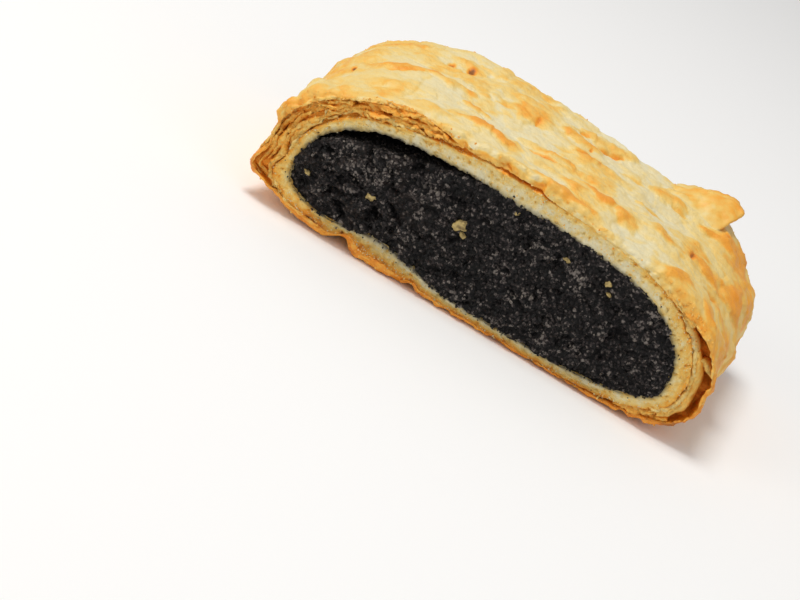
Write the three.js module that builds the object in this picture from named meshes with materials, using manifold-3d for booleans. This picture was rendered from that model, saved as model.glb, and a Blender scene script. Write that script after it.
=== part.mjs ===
// One cut piece of a poppy seed strudel, lying on its base: millimetres, +Z up.
// X runs across the roll, Y along it. The cut face at -Y is the front.
//
// The piece is two solids. The pastry is a sheet of layered dough baked round the filling: a pale
// band lies against the filling, thin leaves open outside the band, and a crust closes them in.
// The filling is a bar of ground poppy seed that runs through the pastry from cut to cut.

import * as THREE from "three";
import { mergeVertices } from "three/addons/utils/BufferGeometryUtils.js";
import Module from "manifold-3d";

// The whole roll
const ROLL_WIDTH = 105; // across the crust at the front cut
const ROLL_HEIGHT = 35.5; // from the base to the crown
const PIECE_LENGTH = 52; // from cut to cut
const WAIST_HEIGHT = 12; // height at which the roll is widest
const CROWN_SLOPE = 0.045; // how fast the top falls from the left shoulder to the right
const BACK_SWELL = 0.028; // how much larger the roll is at the back cut than at the front
const SETTLE = 0.8; // how far the baked base has flattened on its tray
const SLOW_WAVES = [
  // height of each wave in the crust, its crests round the roll and its twist along it
  { height: 0.33, crests: 3, twist: 0.11, phase: 0 },
  { height: 0.28, crests: 5, twist: -0.19, phase: 1 },
  { height: 0.22, crests: 8, twist: 0.27, phase: 2 },
];
const WAVES_FADE_BELOW = 8; // under this height the waves die out towards the flat base
const TUCKED_SEAMS = [
  // furrows under the base, where the ends of the sheet were tucked under the roll
  { height: 2.8, centre: -29.5, reach: 2.6 },
  { height: 1.9, centre: -12, reach: 2.2 },
];

// The dough
const SIDE_DOUGH = 7.8; // dough at the two narrow ends of the oval
const TOP_DOUGH = 6.2;
const BASE_DOUGH = 3;
const DOUBLE_BASE = [{ height: 3.2, centre: -20.4, reach: 11.2 }]; // where the base is rolled double
const WALL_WAIST_HEIGHT = 11.2; // height at which the space for the filling is widest
const WALL_SLOPE = 0.014; // how fast the roof of that space falls to the right
const WALL_SHIFT = -0.8; // how far the space lies to the right of the roll's middle
const BAND_SHARE = 0.45; // inner share of the dough that is one dense pale band
const LEAF_RIDGES = 3; // ridges of open leaves outside the band
const LEAF_RECESS = 1; // depth of the furrows between those ridges
const RIDGE_RECESS = 0.3;
const CUT_ROUND = 0.9; // how far the knife pressed the crust in at each cut
const CUT_ROUND_LENGTH = 1.8;
const LEAF_TIP = { turn: 0.538, spread: 0.011, height: 2.2, length: 7 }; // torn leaf, front left
const TORN_FLAKE = { turn: 0.115, spread: 0.02, length: 3.2 }; // it juts from the back cut, right

// The filling
const WALL_GAP = 0.35; // clearance between filling and dough
const FACE_SINK = 0.5; // the filling lies this far inside each cut
const FACE_BULGE = 0.7; // and its middle stands this far out again
const FACE_CENTRE_HEIGHT = 15;
const ROOF_ABOVE = 14; // what of the filling is higher than this can sink
const SHRINK_GAPS = [
  // where the filling has shrunk away from its roof: at the front left, and at the back right
  { side: -1, centre: -21, reach: 17, height: 3, length: 20 },
  { side: 1, centre: 18, reach: 14, height: 1.8, length: 14 },
];

// Slots where the outer sheets have lifted off. Each end is a turn round the outline and a share
// of the dough, and the opening is the slot's greatest width, also as a share of the dough.
const LIFTED_SHEETS = [
  { side: -1, from: [1.04, 0.76], to: [1.074, 0.72], opening: 0.24, depth: 16 },
  { side: -1, from: [0.98, 0.48], to: [1.034, 0.92], opening: 0.18, depth: 20 },
  { side: 1, from: [0.46, 0.64], to: [0.545, 0.66], opening: 0.19, depth: 15 },
];
const SLOT_MOUTH = 2; // the cutter of a slot starts this far outside the cut face
const SLOT_FULLNESS = 0.7; // below 1 the slot opens out quickly from its pointed ends

// Fineness of the faceted solids
const OUTLINE_STEPS = 108;
const SKIN_STATIONS = 9;
const SLOT_STEPS = 10;
const FILLING_STATIONS = [-1, -0.7, -0.4, 0, 0.4, 0.7, 1]; // shares of half its length
const FILLING_FACE_RINGS = [0.93, 0.6]; // sizes of the rings on its end faces
const MERGE_DISTANCE = 1e-4;

const signedPower = (value, power) => Math.sign(value) * Math.abs(value) ** power;
const bell = (distance, reach) => Math.exp(-((distance / reach) ** 2));
const mix = THREE.MathUtils.lerp;

// A closed outline across the roll: a crowned upper half on a flatter lower half.
// It starts at the right-hand side and runs over the top.
class RollOutline extends THREE.Curve {
  constructor(sizes) {
    super();
    Object.assign(this, sizes);
    this.arcLengthDivisions = 2000;
  }

  getPoint(turn, target = new THREE.Vector3()) {
    const across = Math.cos(turn * 2 * Math.PI);
    const up = Math.sin(turn * 2 * Math.PI);
    const x = this.halfWidth * signedPower(across, 2 / this.sidePower);
    const power = up > 0 ? this.topPower : this.basePower;
    const reach = up > 0 ? this.crown - this.slope * x : this.belly;
    const rises = up < 0 ? this.rises : [];
    const lift = rises.reduce((sum, rise) => sum + rise.height * bell(x - rise.centre, rise.reach), 0);
    return target.set(x + this.shift, 0, this.waist + reach * signedPower(up, 2 / power) + lift);
  }
}

const crustOutline = new RollOutline({
  halfWidth: ROLL_WIDTH / 2,
  waist: WAIST_HEIGHT,
  crown: ROLL_HEIGHT - WAIST_HEIGHT,
  belly: WAIST_HEIGHT + SETTLE,
  slope: CROWN_SLOPE,
  shift: 0,
  rises: TUCKED_SEAMS,
  sidePower: 3,
  topPower: 2.6,
  basePower: 3.4,
});

const wallOutline = new RollOutline({
  halfWidth: ROLL_WIDTH / 2 - SIDE_DOUGH,
  waist: WALL_WAIST_HEIGHT,
  crown: ROLL_HEIGHT - TOP_DOUGH - WALL_WAIST_HEIGHT,
  belly: WALL_WAIST_HEIGHT - BASE_DOUGH,
  slope: WALL_SLOPE,
  shift: WALL_SHIFT,
  rises: DOUBLE_BASE,
  sidePower: 3.7,
  topPower: 2.2,
  basePower: 2.7,
});

const ringOf = (outline) => outline.getSpacedPoints(OUTLINE_STEPS).slice(0, OUTLINE_STEPS);
const crustRing = ringOf(crustOutline);
const wallRing = ringOf(wallOutline);

// Each point of a ring moved along its own normal, outwards where the distance is positive.
function offsetRing(ring, distanceAt) {
  return ring.map((point, k) => {
    const before = ring.at(k - 1);
    const after = ring[(k + 1) % ring.length];
    const outward = new THREE.Vector3(after.z - before.z, 0, before.x - after.x).normalize();
    return point.clone().addScaledVector(outward, distanceAt(k / ring.length, point));
  });
}

// Slow waves in the crust, along the roll and round it.
function crustWave(turn, y, z) {
  const waves = SLOW_WAVES.reduce((sum, { height, crests, twist, phase }) => (
    sum + height * Math.sin(crests * turn * 2 * Math.PI + twist * y + phase)
  ), 0);
  return waves * THREE.MathUtils.smoothstep(z, 0, WAVES_FADE_BELOW);
}

// The crust's ring at one station along the roll, flat where it lies on its base.
function crustRingAt(y) {
  const fromCut = PIECE_LENGTH / 2 - Math.abs(y);
  const pressed = CUT_ROUND * Math.max(0, 1 - fromCut / CUT_ROUND_LENGTH) ** 2;
  const fromFront = PIECE_LENGTH / 2 + y;
  const tip = LEAF_TIP.height * bell(fromFront, LEAF_TIP.length);
  const swell = 1 + BACK_SWELL * (fromFront / PIECE_LENGTH);
  const raised = offsetRing(crustRing, (turn, p) => (
    crustWave(turn, y, p.z) - pressed + tip * bell(turn - LEAF_TIP.turn, LEAF_TIP.spread)
  ));
  return raised.map((p, k) => {
    const jut = TORN_FLAKE.length * bell(k / OUTLINE_STEPS - TORN_FLAKE.turn, TORN_FLAKE.spread);
    const torn = y > PIECE_LENGTH / 2 - CUT_ROUND_LENGTH / 2 ? jut : 0;
    return new THREE.Vector3(p.x * swell, y + torn, Math.max(0, p.z * swell));
  });
}

const wallRingAt = (y) => wallRing.map((p) => new THREE.Vector3(p.x, y, p.z));

// The rings of one cut face, from the crust in to the wall of the filling.
function cutFaceRings(side) {
  const y = side * PIECE_LENGTH / 2;
  const crust = crustRingAt(y);
  const wall = wallRingAt(y);
  const steps = 2 * LEAF_RIDGES;
  const shares = Array.from({ length: steps }, (_, i) => mix(1, BAND_SHARE, (i + 1) / steps));
  const recesses = shares.map((_, i) => (i % 2 ? RIDGE_RECESS : LEAF_RECESS));
  recesses[steps - 1] = 0;
  return shares.map((share, i) => wall.map((p, k) => {
    const point = p.clone().lerp(crust[k], share);
    point.y -= side * recesses[i];
    return point;
  }));
}

// Joins rings of equally many points into one surface. A closed surface runs on from the last
// ring to the first; an open one gets a point in the middle of each end.
function skinOver(rings, closed) {
  const count = rings[0].length;
  const points = rings.flat();
  const faces = [];
  const quad = (a, b, c, d) => faces.push(a, b, c, a, c, d);
  const joins = closed ? rings.length : rings.length - 1;
  for (let r = 0; r < joins; r += 1) {
    const next = (r + 1) % rings.length;
    for (let k = 0; k < count; k += 1) {
      const k2 = (k + 1) % count;
      quad(r * count + k, next * count + k, next * count + k2, r * count + k2);
    }
  }
  if (!closed) {
    for (const [ring, turned] of [[0, true], [rings.length - 1, false]]) {
      const centre = rings[ring].reduce((sum, p) => sum.add(p), new THREE.Vector3());
      points.push(centre.divideScalar(count));
      for (let k = 0; k < count; k += 1) {
        const [a, b] = [ring * count + k, ring * count + ((k + 1) % count)];
        faces.push(points.length - 1, ...(turned ? [a, b] : [b, a]));
      }
    }
  }
  const geometry = new THREE.BufferGeometry();
  geometry.setAttribute("position", new THREE.Float32BufferAttribute(points.flatMap((p) => [...p]), 3));
  geometry.setIndex(faces);
  return geometry;
}

// The pastry before its slots are cut: out over the crust, in across the back cut face,
// forward along the filling's wall and out across the front cut face.
function pastryBlank() {
  const half = PIECE_LENGTH / 2;
  const roundStep = CUT_ROUND_LENGTH / 2;
  const middle = Array.from({ length: SKIN_STATIONS }, (_, i) => (
    mix(-half + CUT_ROUND_LENGTH, half - CUT_ROUND_LENGTH, i / (SKIN_STATIONS - 1))
  ));
  const crust = [-half, -half + roundStep, ...middle, half - roundStep, half].map(crustRingAt);
  const wall = [half, half / 3, -half / 3, -half].map(wallRingAt);
  return skinOver([...crust, ...cutFaceRings(1), ...wall, ...cutFaceRings(-1).reverse()], true);
}

// A lens-shaped slot between two sheets of dough, running in from one cut face.
function slotBetweenSheets({ side, from, to, opening, depth }) {
  const y = side * PIECE_LENGTH / 2;
  const crust = crustRingAt(y);
  const wall = wallRingAt(y);
  const pointAt = (turn, share) => {
    const place = (turn % 1) * OUTLINE_STEPS;
    const [k, part] = [Math.floor(place), place % 1];
    const along = (ring) => ring[k].clone().lerp(ring[(k + 1) % OUTLINE_STEPS], part);
    const point = along(wall).lerp(along(crust), share);
    return new THREE.Vector2(point.x, point.z);
  };
  const edge = (direction) => Array.from({ length: SLOT_STEPS + 1 }, (_, i) => {
    const part = i / SLOT_STEPS;
    const opened = direction * opening / 2 * Math.max(0, Math.sin(part * Math.PI)) ** SLOT_FULLNESS;
    return pointAt(mix(from[0], to[0], part), mix(from[1], to[1], part) + opened);
  });
  const inner = edge(-1);
  const outer = edge(1).reverse().slice(1, -1);
  const lens = new THREE.Shape([...inner, ...outer]);
  const cutter = new THREE.ExtrudeGeometry(lens, {
    depth: depth + SLOT_MOUTH,
    bevelEnabled: false,
    curveSegments: 1,
  });
  cutter.rotateX(Math.PI / 2); // the lens now lies across the roll and runs towards -Y
  cutter.translate(0, side < 0 ? y + depth : y + SLOT_MOUTH, 0);
  return cutter;
}

// The filling's ring at one station, lowered where it has shrunk away from its roof.
function fillingRingAt(y) {
  const ring = offsetRing(wallRing, () => -WALL_GAP);
  return ring.map((p) => {
    const sunk = SHRINK_GAPS.reduce((sum, gap) => {
      const fromCut = gap.side < 0 ? y + PIECE_LENGTH / 2 : PIECE_LENGTH / 2 - y;
      const fade = 1 - THREE.MathUtils.smoothstep(fromCut, 0, gap.length);
      return sum + gap.height * bell(p.x - gap.centre, gap.reach) * fade;
    }, 0);
    return new THREE.Vector3(p.x, y, p.z > ROOF_ABOVE ? p.z - sunk : p.z);
  });
}

// One end of the filling: rings that close in towards the middle and stand a little further out.
function fillingFaceRings(side) {
  const y = side * (PIECE_LENGTH / 2 - FACE_SINK);
  const rim = fillingRingAt(y);
  const centre = new THREE.Vector3(0, y, FACE_CENTRE_HEIGHT);
  return FILLING_FACE_RINGS.map((share) => rim.map((p) => {
    const point = centre.clone().lerp(p, share);
    point.y += side * FACE_BULGE * (1 - share ** 2);
    return point;
  }));
}

function fillingBar() {
  const half = PIECE_LENGTH / 2 - FACE_SINK;
  const stations = FILLING_STATIONS.map((share) => fillingRingAt(share * half));
  return skinOver([...fillingFaceRings(-1).reverse(), ...stations, ...fillingFaceRings(1)], false);
}

const wasm = await Module();
wasm.setup();

function solidFrom(geometry) {
  const bare = geometry.index ? geometry.toNonIndexed() : geometry.clone();
  bare.deleteAttribute("normal");
  bare.deleteAttribute("uv");
  const merged = mergeVertices(bare, MERGE_DISTANCE);
  return new wasm.Manifold(new wasm.Mesh({
    numProp: 3,
    vertProperties: new Float32Array(merged.attributes.position.array),
    triVerts: new Uint32Array(merged.index.array),
  }));
}

function geometryFrom(solid) {
  const { vertProperties, triVerts } = solid.getMesh();
  const geometry = new THREE.BufferGeometry();
  geometry.setAttribute("position", new THREE.BufferAttribute(new Float32Array(vertProperties), 3));
  geometry.setIndex(new THREE.BufferAttribute(new Uint32Array(triVerts), 1));
  geometry.computeVertexNormals();
  return geometry;
}

const pastry = LIFTED_SHEETS.reduce(
  (solid, sheet) => solid.subtract(solidFrom(slotBetweenSheets(sheet))),
  solidFrom(pastryBlank()),
);

const bakedDough = new THREE.MeshStandardMaterial({ color: "#e6b96a", roughness: 0.7, metalness: 0 });
const poppyPaste = new THREE.MeshStandardMaterial({ color: "#26211f", roughness: 0.85, metalness: 0 });

const pastryRoll = new THREE.Mesh(geometryFrom(pastry), bakedDough);
pastryRoll.name = "pastry_roll";
const poppyFilling = new THREE.Mesh(geometryFrom(solidFrom(fillingBar())), poppyPaste);
poppyFilling.name = "poppy_filling";

// The origin is under the middle of the piece's box, on the surface it rests on.
const strudel = new THREE.Group();
strudel.add(pastryRoll, poppyFilling);
const box = new THREE.Box3().setFromObject(strudel);
const middle = box.getCenter(new THREE.Vector3());
strudel.position.set(-middle.x, -middle.y, -box.min.z);

export default strudel;
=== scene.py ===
# One cut piece of poppy seed strudel, lying on its base with the front cut towards -Y.
# It is made from the inside out: the filling with its grains and nuts, the dense band of dough,
# the open leaves, the crust, its torn flake and its crumbs, and last the table, light and camera.
# Shapes are worked out in millimetres and turned into metres when a mesh is made.

import math

import bmesh
import bpy
import numpy as np
from mathutils import Matrix, Vector, noise


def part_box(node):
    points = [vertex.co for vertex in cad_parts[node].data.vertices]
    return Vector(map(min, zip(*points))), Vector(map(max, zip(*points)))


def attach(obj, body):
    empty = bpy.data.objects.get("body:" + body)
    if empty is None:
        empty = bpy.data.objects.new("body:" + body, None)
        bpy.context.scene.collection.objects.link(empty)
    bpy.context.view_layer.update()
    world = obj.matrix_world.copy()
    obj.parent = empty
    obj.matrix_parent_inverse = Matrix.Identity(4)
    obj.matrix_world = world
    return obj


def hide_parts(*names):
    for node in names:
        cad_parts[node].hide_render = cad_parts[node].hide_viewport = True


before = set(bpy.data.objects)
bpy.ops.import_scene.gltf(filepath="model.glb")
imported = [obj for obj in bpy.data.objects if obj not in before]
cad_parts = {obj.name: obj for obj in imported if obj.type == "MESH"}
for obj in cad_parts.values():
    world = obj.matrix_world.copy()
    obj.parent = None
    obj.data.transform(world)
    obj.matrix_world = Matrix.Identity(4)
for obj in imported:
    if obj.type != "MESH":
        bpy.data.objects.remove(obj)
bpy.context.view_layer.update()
MM = 0.001


# ---------------------------------------------------------------- the poppy filling
# A bar of ground poppy seed boiled with milk and sugar to a stiff, moist paste. The dough is
# rolled round it, and the knife leaves its ends rough: clods, whole grains, pits and cracks.

TAU = 2 * math.pi
CUT_LENGTH = 52  # from the front cut to the back cut
FILLING_SHIFT = -0.8  # how far the filling lies to the right of the roll's middle
front_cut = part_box("pastry_roll")[0].y / MM
back_cut = front_cut + CUT_LENGTH
middle_x = (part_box("poppy_filling")[0].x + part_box("poppy_filling")[1].x) / 2 / MM - FILLING_SHIFT
WALL_HALF_WIDTH, WALL_WAIST, WALL_CROWN, WALL_BELLY, WALL_SLOPE = 44.7, 11.2, 18.1, 8.2, 0.014
WALL_POWERS = (3.7, 2.2, 2.7)  # how square its sides, its top and its base are
WALL_BUMPS = [(3.2, -20.4, 11.2)]  # height, x and reach of the doubled dough under the filling
PASTE_COLUMNS = 380
PASTE_ROWS = 104
PASTE_DEPTHS = [0, 1.2, 6, 20]  # where the paste has points, behind each of its cut faces
PASTE_SPREAD = 0.25  # the paste presses this far into the dough
FACE_SINK = 0.4  # the paste's cut starts this far behind the cut of the dough,
FACE_BULGE = 0.45  # and bulges out by this much in the middle
FACE_MIDDLE_HEIGHT, FACE_HALF_WIDTH, FACE_HALF_HEIGHT = 15, 44, 14
FACE_PLANE = 40  # noise on a cut is read this far off, so that the two cuts differ
CLOD_SIZE, GRAIN_SIZE, PIT_SIZE, CRACK_WIDTH = 2.3, 0.9, 3.4, 0.42
SHRUNK_ROOFS = [(-1, -29, 15, 3.6, 20), (1, 18, 14, 1.8, 14)]  # side, x, reach, height, length
CRACKS = [  # x and z of both ends, and depth
    (-35, 16.5, -29.5, 14.6, 1.3), (-27.6, 12.6, -23.2, 11.2, 1.6), (-24.6, 15.4, -19.5, 12.2, 1.4),
    (-38, 11, -32.5, 11.8, 1.1), (-14, 22.6, -9, 23.6, 0.9), (6, 12.5, 12, 9.5, 0.8),
    (20, 19.5, 24.5, 17, 0.8), (31, 12, 35, 14.5, 0.7), (-6, 9, -1, 7.6, 0.8),
]


def signed_power(value, power):
    return np.sign(value) * np.abs(value) ** power


def bell(distance, reach):
    return np.exp(-((distance / reach) ** 2))


def rise(value, low, high):
    """0 below low, 1 above high and smooth between them."""
    part = np.clip((value - low) / (high - low), 0, 1)
    return part * part * (3 - 2 * part)


def oval(turn, half_width, waist, crown, belly, slope, powers, bumps):
    """x and z round a section, from its right side over the top: a crowned half on a flat half."""
    across, up = np.cos(turn * TAU), np.sin(turn * TAU)
    side_power, top_power, base_power = powers
    x = half_width * signed_power(across, 2 / side_power)
    top = (crown - slope * x) * signed_power(up, 2 / top_power)
    z = waist + np.where(up > 0, top, belly * signed_power(up, 2 / base_power))
    for height, centre, reach in bumps:
        z = z + np.where(up < -1e-9, height * bell(x - centre, reach), 0)
    return x, z


def wall_section(turn, spread=0.0):
    """The inner wall of the dough, which the filling lies against."""
    sizes = (WALL_HALF_WIDTH + spread, WALL_WAIST, WALL_CROWN + spread, WALL_BELLY + spread, WALL_SLOPE)
    x, z = oval(turn, *sizes, WALL_POWERS, WALL_BUMPS)
    return x + FILLING_SHIFT, z


NOISE_KEYS = 4096  # a power of two
KEY_FACTORS = (73856093, 19349663, 83492791, 2654435)  # large and odd, so that neighbours get unlike keys


def corner_keys(corner, seed):
    """A key below NOISE_KEYS for each corner of the cells that noise is made in."""
    x, y, z = (axis * factor for axis, factor in zip(corner.T, KEY_FACTORS))
    return (x ^ y ^ z ^ (seed * KEY_FACTORS[3])) & (NOISE_KEYS - 1)


def soft_noise(points, cell, seed):
    """Smooth noise from about -1 to 1. cell is the size of its lumps, or one size for each axis."""
    slopes = np.random.default_rng(seed).normal(size=(NOISE_KEYS, 3))
    slopes /= np.linalg.norm(slopes, axis=1, keepdims=True)
    spot = points / np.asarray(cell, float)
    corner = np.floor(spot).astype(np.int64)
    part = spot - corner
    fade = part**3 * (part * (6 * part - 15) + 10)
    total = np.zeros(len(points))
    for step in np.ndindex(2, 2, 2):
        weight = np.prod(np.where(step, fade, 1 - fade), axis=1)
        slope = slopes[corner_keys(corner + step, seed)]
        total += weight * np.einsum("ij,ij->i", slope, part - step)
    return 1.7 * total


def rough(points, *layers):
    """Noise of several lump sizes added up: the height, lump size and seed of each."""
    return sum(height * soft_noise(points, cell, seed) for height, cell, seed in layers)


def wander(points, cell, seed):
    """A small move of each point by noise, which makes straight and round outlines uneven."""
    return np.stack([soft_noise(points, cell, seed + axis) for axis in range(3)], axis=-1)


def face_noise_points(points, side):
    """Points of a cut, flattened to one plane for noise that doesn't change with depth."""
    flat = points.copy()
    flat[:, 1] = FACE_PLANE * side
    return flat


def grain_field(points, cell, seed):
    """How far the nearest of scattered grains is, in cells, and that grain's own number, 0 to 1."""
    dice = np.random.default_rng(seed).uniform(size=(NOISE_KEYS, 4))
    spot = points / cell
    corner = np.floor(spot).astype(np.int64)
    nearest = np.full(len(points), 9.0)
    number = np.zeros(len(points))
    for step in np.ndindex(3, 3, 3):
        place = corner + step - 1
        roll = dice[corner_keys(place, seed)]
        distance = np.linalg.norm(place + roll[:, :3] - spot, axis=1)
        closer = distance < nearest
        nearest = np.where(closer, distance, nearest)
        number = np.where(closer, roll[:, 3], number)
    return nearest, number


def crack_depth(x, y, cracks, width):
    """How deep a surface is split at each point by short cracks that taper to their ends."""
    depth = np.zeros(len(x))
    for x0, y0, x1, y1, deepest in cracks:
        dx, dy = x1 - x0, y1 - y0
        along = np.clip(((x - x0) * dx + (y - y0) * dy) / (dx * dx + dy * dy), 0, 1)
        off = np.hypot(x - x0 - along * dx, y - y0 - along * dy)
        depth = np.maximum(depth, deepest * bell(off, width * (0.4 + np.sin(along * math.pi))))
    return depth


def paste_relief(points, side):
    """How far the cut paste stands out, how much shade is painted into its hollows, and how dusty it is with
    crushed seed, which also stands for painted highlight on lit grains.
    """
    x, z = points[:, 0] - middle_x, points[:, 2]
    flat = face_noise_points(points, side)
    off_middle = (x / FACE_HALF_WIDTH) ** 2
    crown = FACE_BULGE * np.clip(1 - off_middle - ((z - FACE_MIDDLE_HEIGHT) / FACE_HALF_HEIGHT) ** 2, 0, 1)
    top_left = bell(x * side - 31, 14) * bell(z - 21.5, 5)
    coarse = 0.85 + 0.5 * rise(x * side, -8, 26)
    lumps = coarse * rough(flat, (0.5, 6.5, 11), (0.45, 3, 12))
    stray = wander(flat, 2, 20)
    pits = coarse * rise(soft_noise(flat + 1.6 * stray, PIT_SIZE, 14), 0.3, 0.7)
    distance, _ = grain_field(flat + 0.5 * stray, CLOD_SIZE, 16)
    clods = 0.8 * coarse * (0.5 - distance**2)
    distance, number = grain_field(flat, GRAIN_SIZE, 15)
    grains = 0.42 * (0.3 + 0.7 * number) * np.clip(1 - (distance / 0.55) ** 2, 0, 1)
    split = crack_depth(x * -side, z, CRACKS, CRACK_WIDTH)
    relief = lumps + clods + grains - pits - split
    # Greyer crushed seed in clusters, which also stands for painted highlight on lit grains.
    dust = rise(rough(flat, (1, 5, 18), (0.5, 2, 19)) + 0.8 * top_left, 0.1, 0.75)
    # The second value is painted shade: the lower the relief, the darker the paste is painted.
    return crown + 0.5 * top_left + relief, rise(-relief, 0.0, 0.9), dust


def paste_columns(y):
    """The upper and lower edge of the filling above and below each column, at one place along it."""
    turns = np.linspace(0, 0.5, 4001)
    x, z = wall_section(turns, PASTE_SPREAD)
    length = np.concatenate([[0], np.cumsum(np.hypot(np.diff(x), np.diff(z)))])
    turns = np.interp(np.linspace(0, length[-1], PASTE_COLUMNS + 1), length, turns)
    edges = []
    for edge_turns in (turns, 1 - turns):
        x, z = wall_section(edge_turns, PASTE_SPREAD)
        for side, centre, reach, height, fade_length in SHRUNK_ROOFS:
            from_cut = y - front_cut if side < 0 else back_cut - y
            fade = 1 - rise(np.array(from_cut), 0, fade_length)
            z = z - height * bell(x - centre, reach) * fade * rise(z, 14, 20)
        edges.append(np.stack([x + middle_x, np.full_like(x, y), z], axis=1))
    return edges


def grid_faces(index):
    """Faces between neighbouring rows and columns of vertex numbers, without repeated corners."""
    corners = [index[:-1, :-1], index[1:, :-1], index[1:, 1:], index[:-1, 1:]]
    quads = np.stack(corners, axis=-1).reshape(-1, 4).tolist()
    faces = [list(dict.fromkeys(quad)) for quad in quads]
    return [face for face in faces if len(face) > 2]


def new_object(name, data):
    """An object at the origin, in the scene."""
    made = bpy.data.objects.new(name, data)
    bpy.context.scene.collection.objects.link(made)
    return made


def add_numbers(mesh, numbers):
    """Gives a mesh one number a point under each name, for its material or its tree to read."""
    for title, values in numbers.items():
        mesh.attributes.new(title, "FLOAT", "POINT").data.foreach_set("value", values)


def made_piece(name, points, faces, material, **numbers):
    """A closed, smooth mesh piece with its faces outwards, and one number a point for each name."""
    used = np.unique(np.concatenate([np.array(face) for face in faces]))
    renumber = np.zeros(len(points), int)
    renumber[used] = np.arange(len(used))
    mesh = bpy.data.meshes.new(name)
    mesh.from_pydata((points[used] * MM).tolist(), [], [renumber[face].tolist() for face in faces])
    add_numbers(mesh, {title: np.asarray(values, float)[used] for title, values in numbers.items()})
    shape = bmesh.new()
    shape.from_mesh(mesh)
    bmesh.ops.recalc_face_normals(shape, faces=shape.faces)
    shape.to_mesh(mesh)
    shape.free()
    mesh.shade_smooth()
    mesh.materials.append(material)
    return new_object(name, mesh)


def paint(code):
    """A colour written as on a colour chart, such as f2dfae, in the linear values of a shader."""
    parts = [int(code[i:i + 2], 16) / 255 for i in (0, 2, 4)]
    return [c / 12.92 if c <= 0.04045 else ((c + 0.055) / 1.055) ** 2.4 for c in parts] + [1]


def add_node(tree, kind, feeds=None, **settings):
    """A node with its plain settings, whose named inputs are fed by values or other sockets."""
    made = tree.nodes.new(kind)
    for key, value in settings.items():
        setattr(made, key, value)
    for key, value in (feeds or {}).items():
        named = isinstance(key, str)
        socket = next(s for s in made.inputs if s.name == key and s.enabled) if named else made.inputs[key]
        if isinstance(value, bpy.types.NodeSocket):
            tree.links.new(value, socket)
        else:
            socket.default_value = value
    return made


def output_of(tree, kind, feeds=None, output=0, **settings):
    """One output of a new node."""
    return add_node(tree, kind, feeds, **settings).outputs[output]


def calculated(tree, operation, *values):
    return output_of(tree, "ShaderNodeMath", dict(enumerate(values)), operation=operation)


def new_group(name, kind, inputs, outputs):
    """A node group with named inputs and outputs, and the sockets that its inputs arrive at."""
    group = bpy.data.node_groups.new(name, kind)
    for in_out, sockets in (("INPUT", inputs), ("OUTPUT", outputs)):
        for title, socket_kind in sockets.items():
            group.interface.new_socket(name=title, in_out=in_out, socket_type="NodeSocket" + socket_kind)
    return group, group.nodes.new("NodeGroupInput").outputs


def colour_ramp(tree, value, stops):
    """A ramp of colours at places from 0 to 1."""
    made = add_node(tree, "ShaderNodeValToRGB", {"Fac": value})
    ramp = made.color_ramp
    while len(ramp.elements) < len(stops):
        ramp.elements.new(1)
    for element, (place, code) in zip(ramp.elements, stops):
        element.position, element.color = place, paint(code)
    return made.outputs["Color"]


def mixed_colour(tree, part, first, second):
    """Two colours mixed by a value."""
    feeds = {"Factor": part, "A": first, "B": second}
    return output_of(tree, "ShaderNodeMix", feeds, "Result", data_type="RGBA")


def point_number(tree, title):
    """A piece's own number at each point, as a shader reads it."""
    return output_of(tree, "ShaderNodeAttribute", None, "Fac", attribute_name=title)


def object_place(tree):
    """The place on the piece, in metres, as a shader reads it."""
    return output_of(tree, "ShaderNodeTexCoord", None, "Object")


PITS_FINER = 3.1  # how many times finer the pits of a surface are than its mottling


def grainy_group():
    """Fine mottling and pitting, as every baked or boiled surface here has: a value and a height."""
    inputs = {"Size": "Float", "Detail": "Float"}
    group, given = new_group("fine grain", "ShaderNodeTree", inputs, {"Mottle": "Float", "Height": "Float"})
    scale = calculated(group, "DIVIDE", 1 / MM, given["Size"])
    feeds = {"Vector": object_place(group), "Scale": scale, "Detail": given["Detail"]}
    mottle = output_of(group, "ShaderNodeTexNoise", feeds, "Fac")
    feeds["Scale"] = calculated(group, "MULTIPLY", scale, PITS_FINER)
    pits = output_of(group, "ShaderNodeTexNoise", feeds, "Fac")
    add_node(group, "NodeGroupOutput", {"Mottle": mottle, "Height": pits})
    return group


fine_grain = grainy_group()


def grain_of(tree, size, detail=3.0):
    """The outputs of the fine grain group placed in a material, with its own size in millimetres."""
    feeds = {"Size": size, "Detail": detail}
    return add_node(tree, "ShaderNodeGroup", feeds, node_tree=fine_grain).outputs


def new_material(name):
    """An empty node material, with its tree and its Principled shader."""
    material = bpy.data.materials.new(name)
    material.use_nodes = True
    tree = material.node_tree
    return material, tree, tree.nodes["Principled BSDF"]


def finish_surface(tree, shader, colour, roughness, height, depth):
    """Feeds the shader its colour, its roughness and a bump of that depth in millimetres."""
    tree.links.new(colour, shader.inputs["Base Color"])
    shader.inputs["Roughness"].default_value = roughness
    bump = output_of(tree, "ShaderNodeBump", {"Height": height, "Distance": depth * MM, "Strength": 1.0})
    tree.links.new(bump, shader.inputs["Normal"])


POPPY_GLOSS = 0.3
PASTE_SEED_SIZE = 0.75


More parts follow.
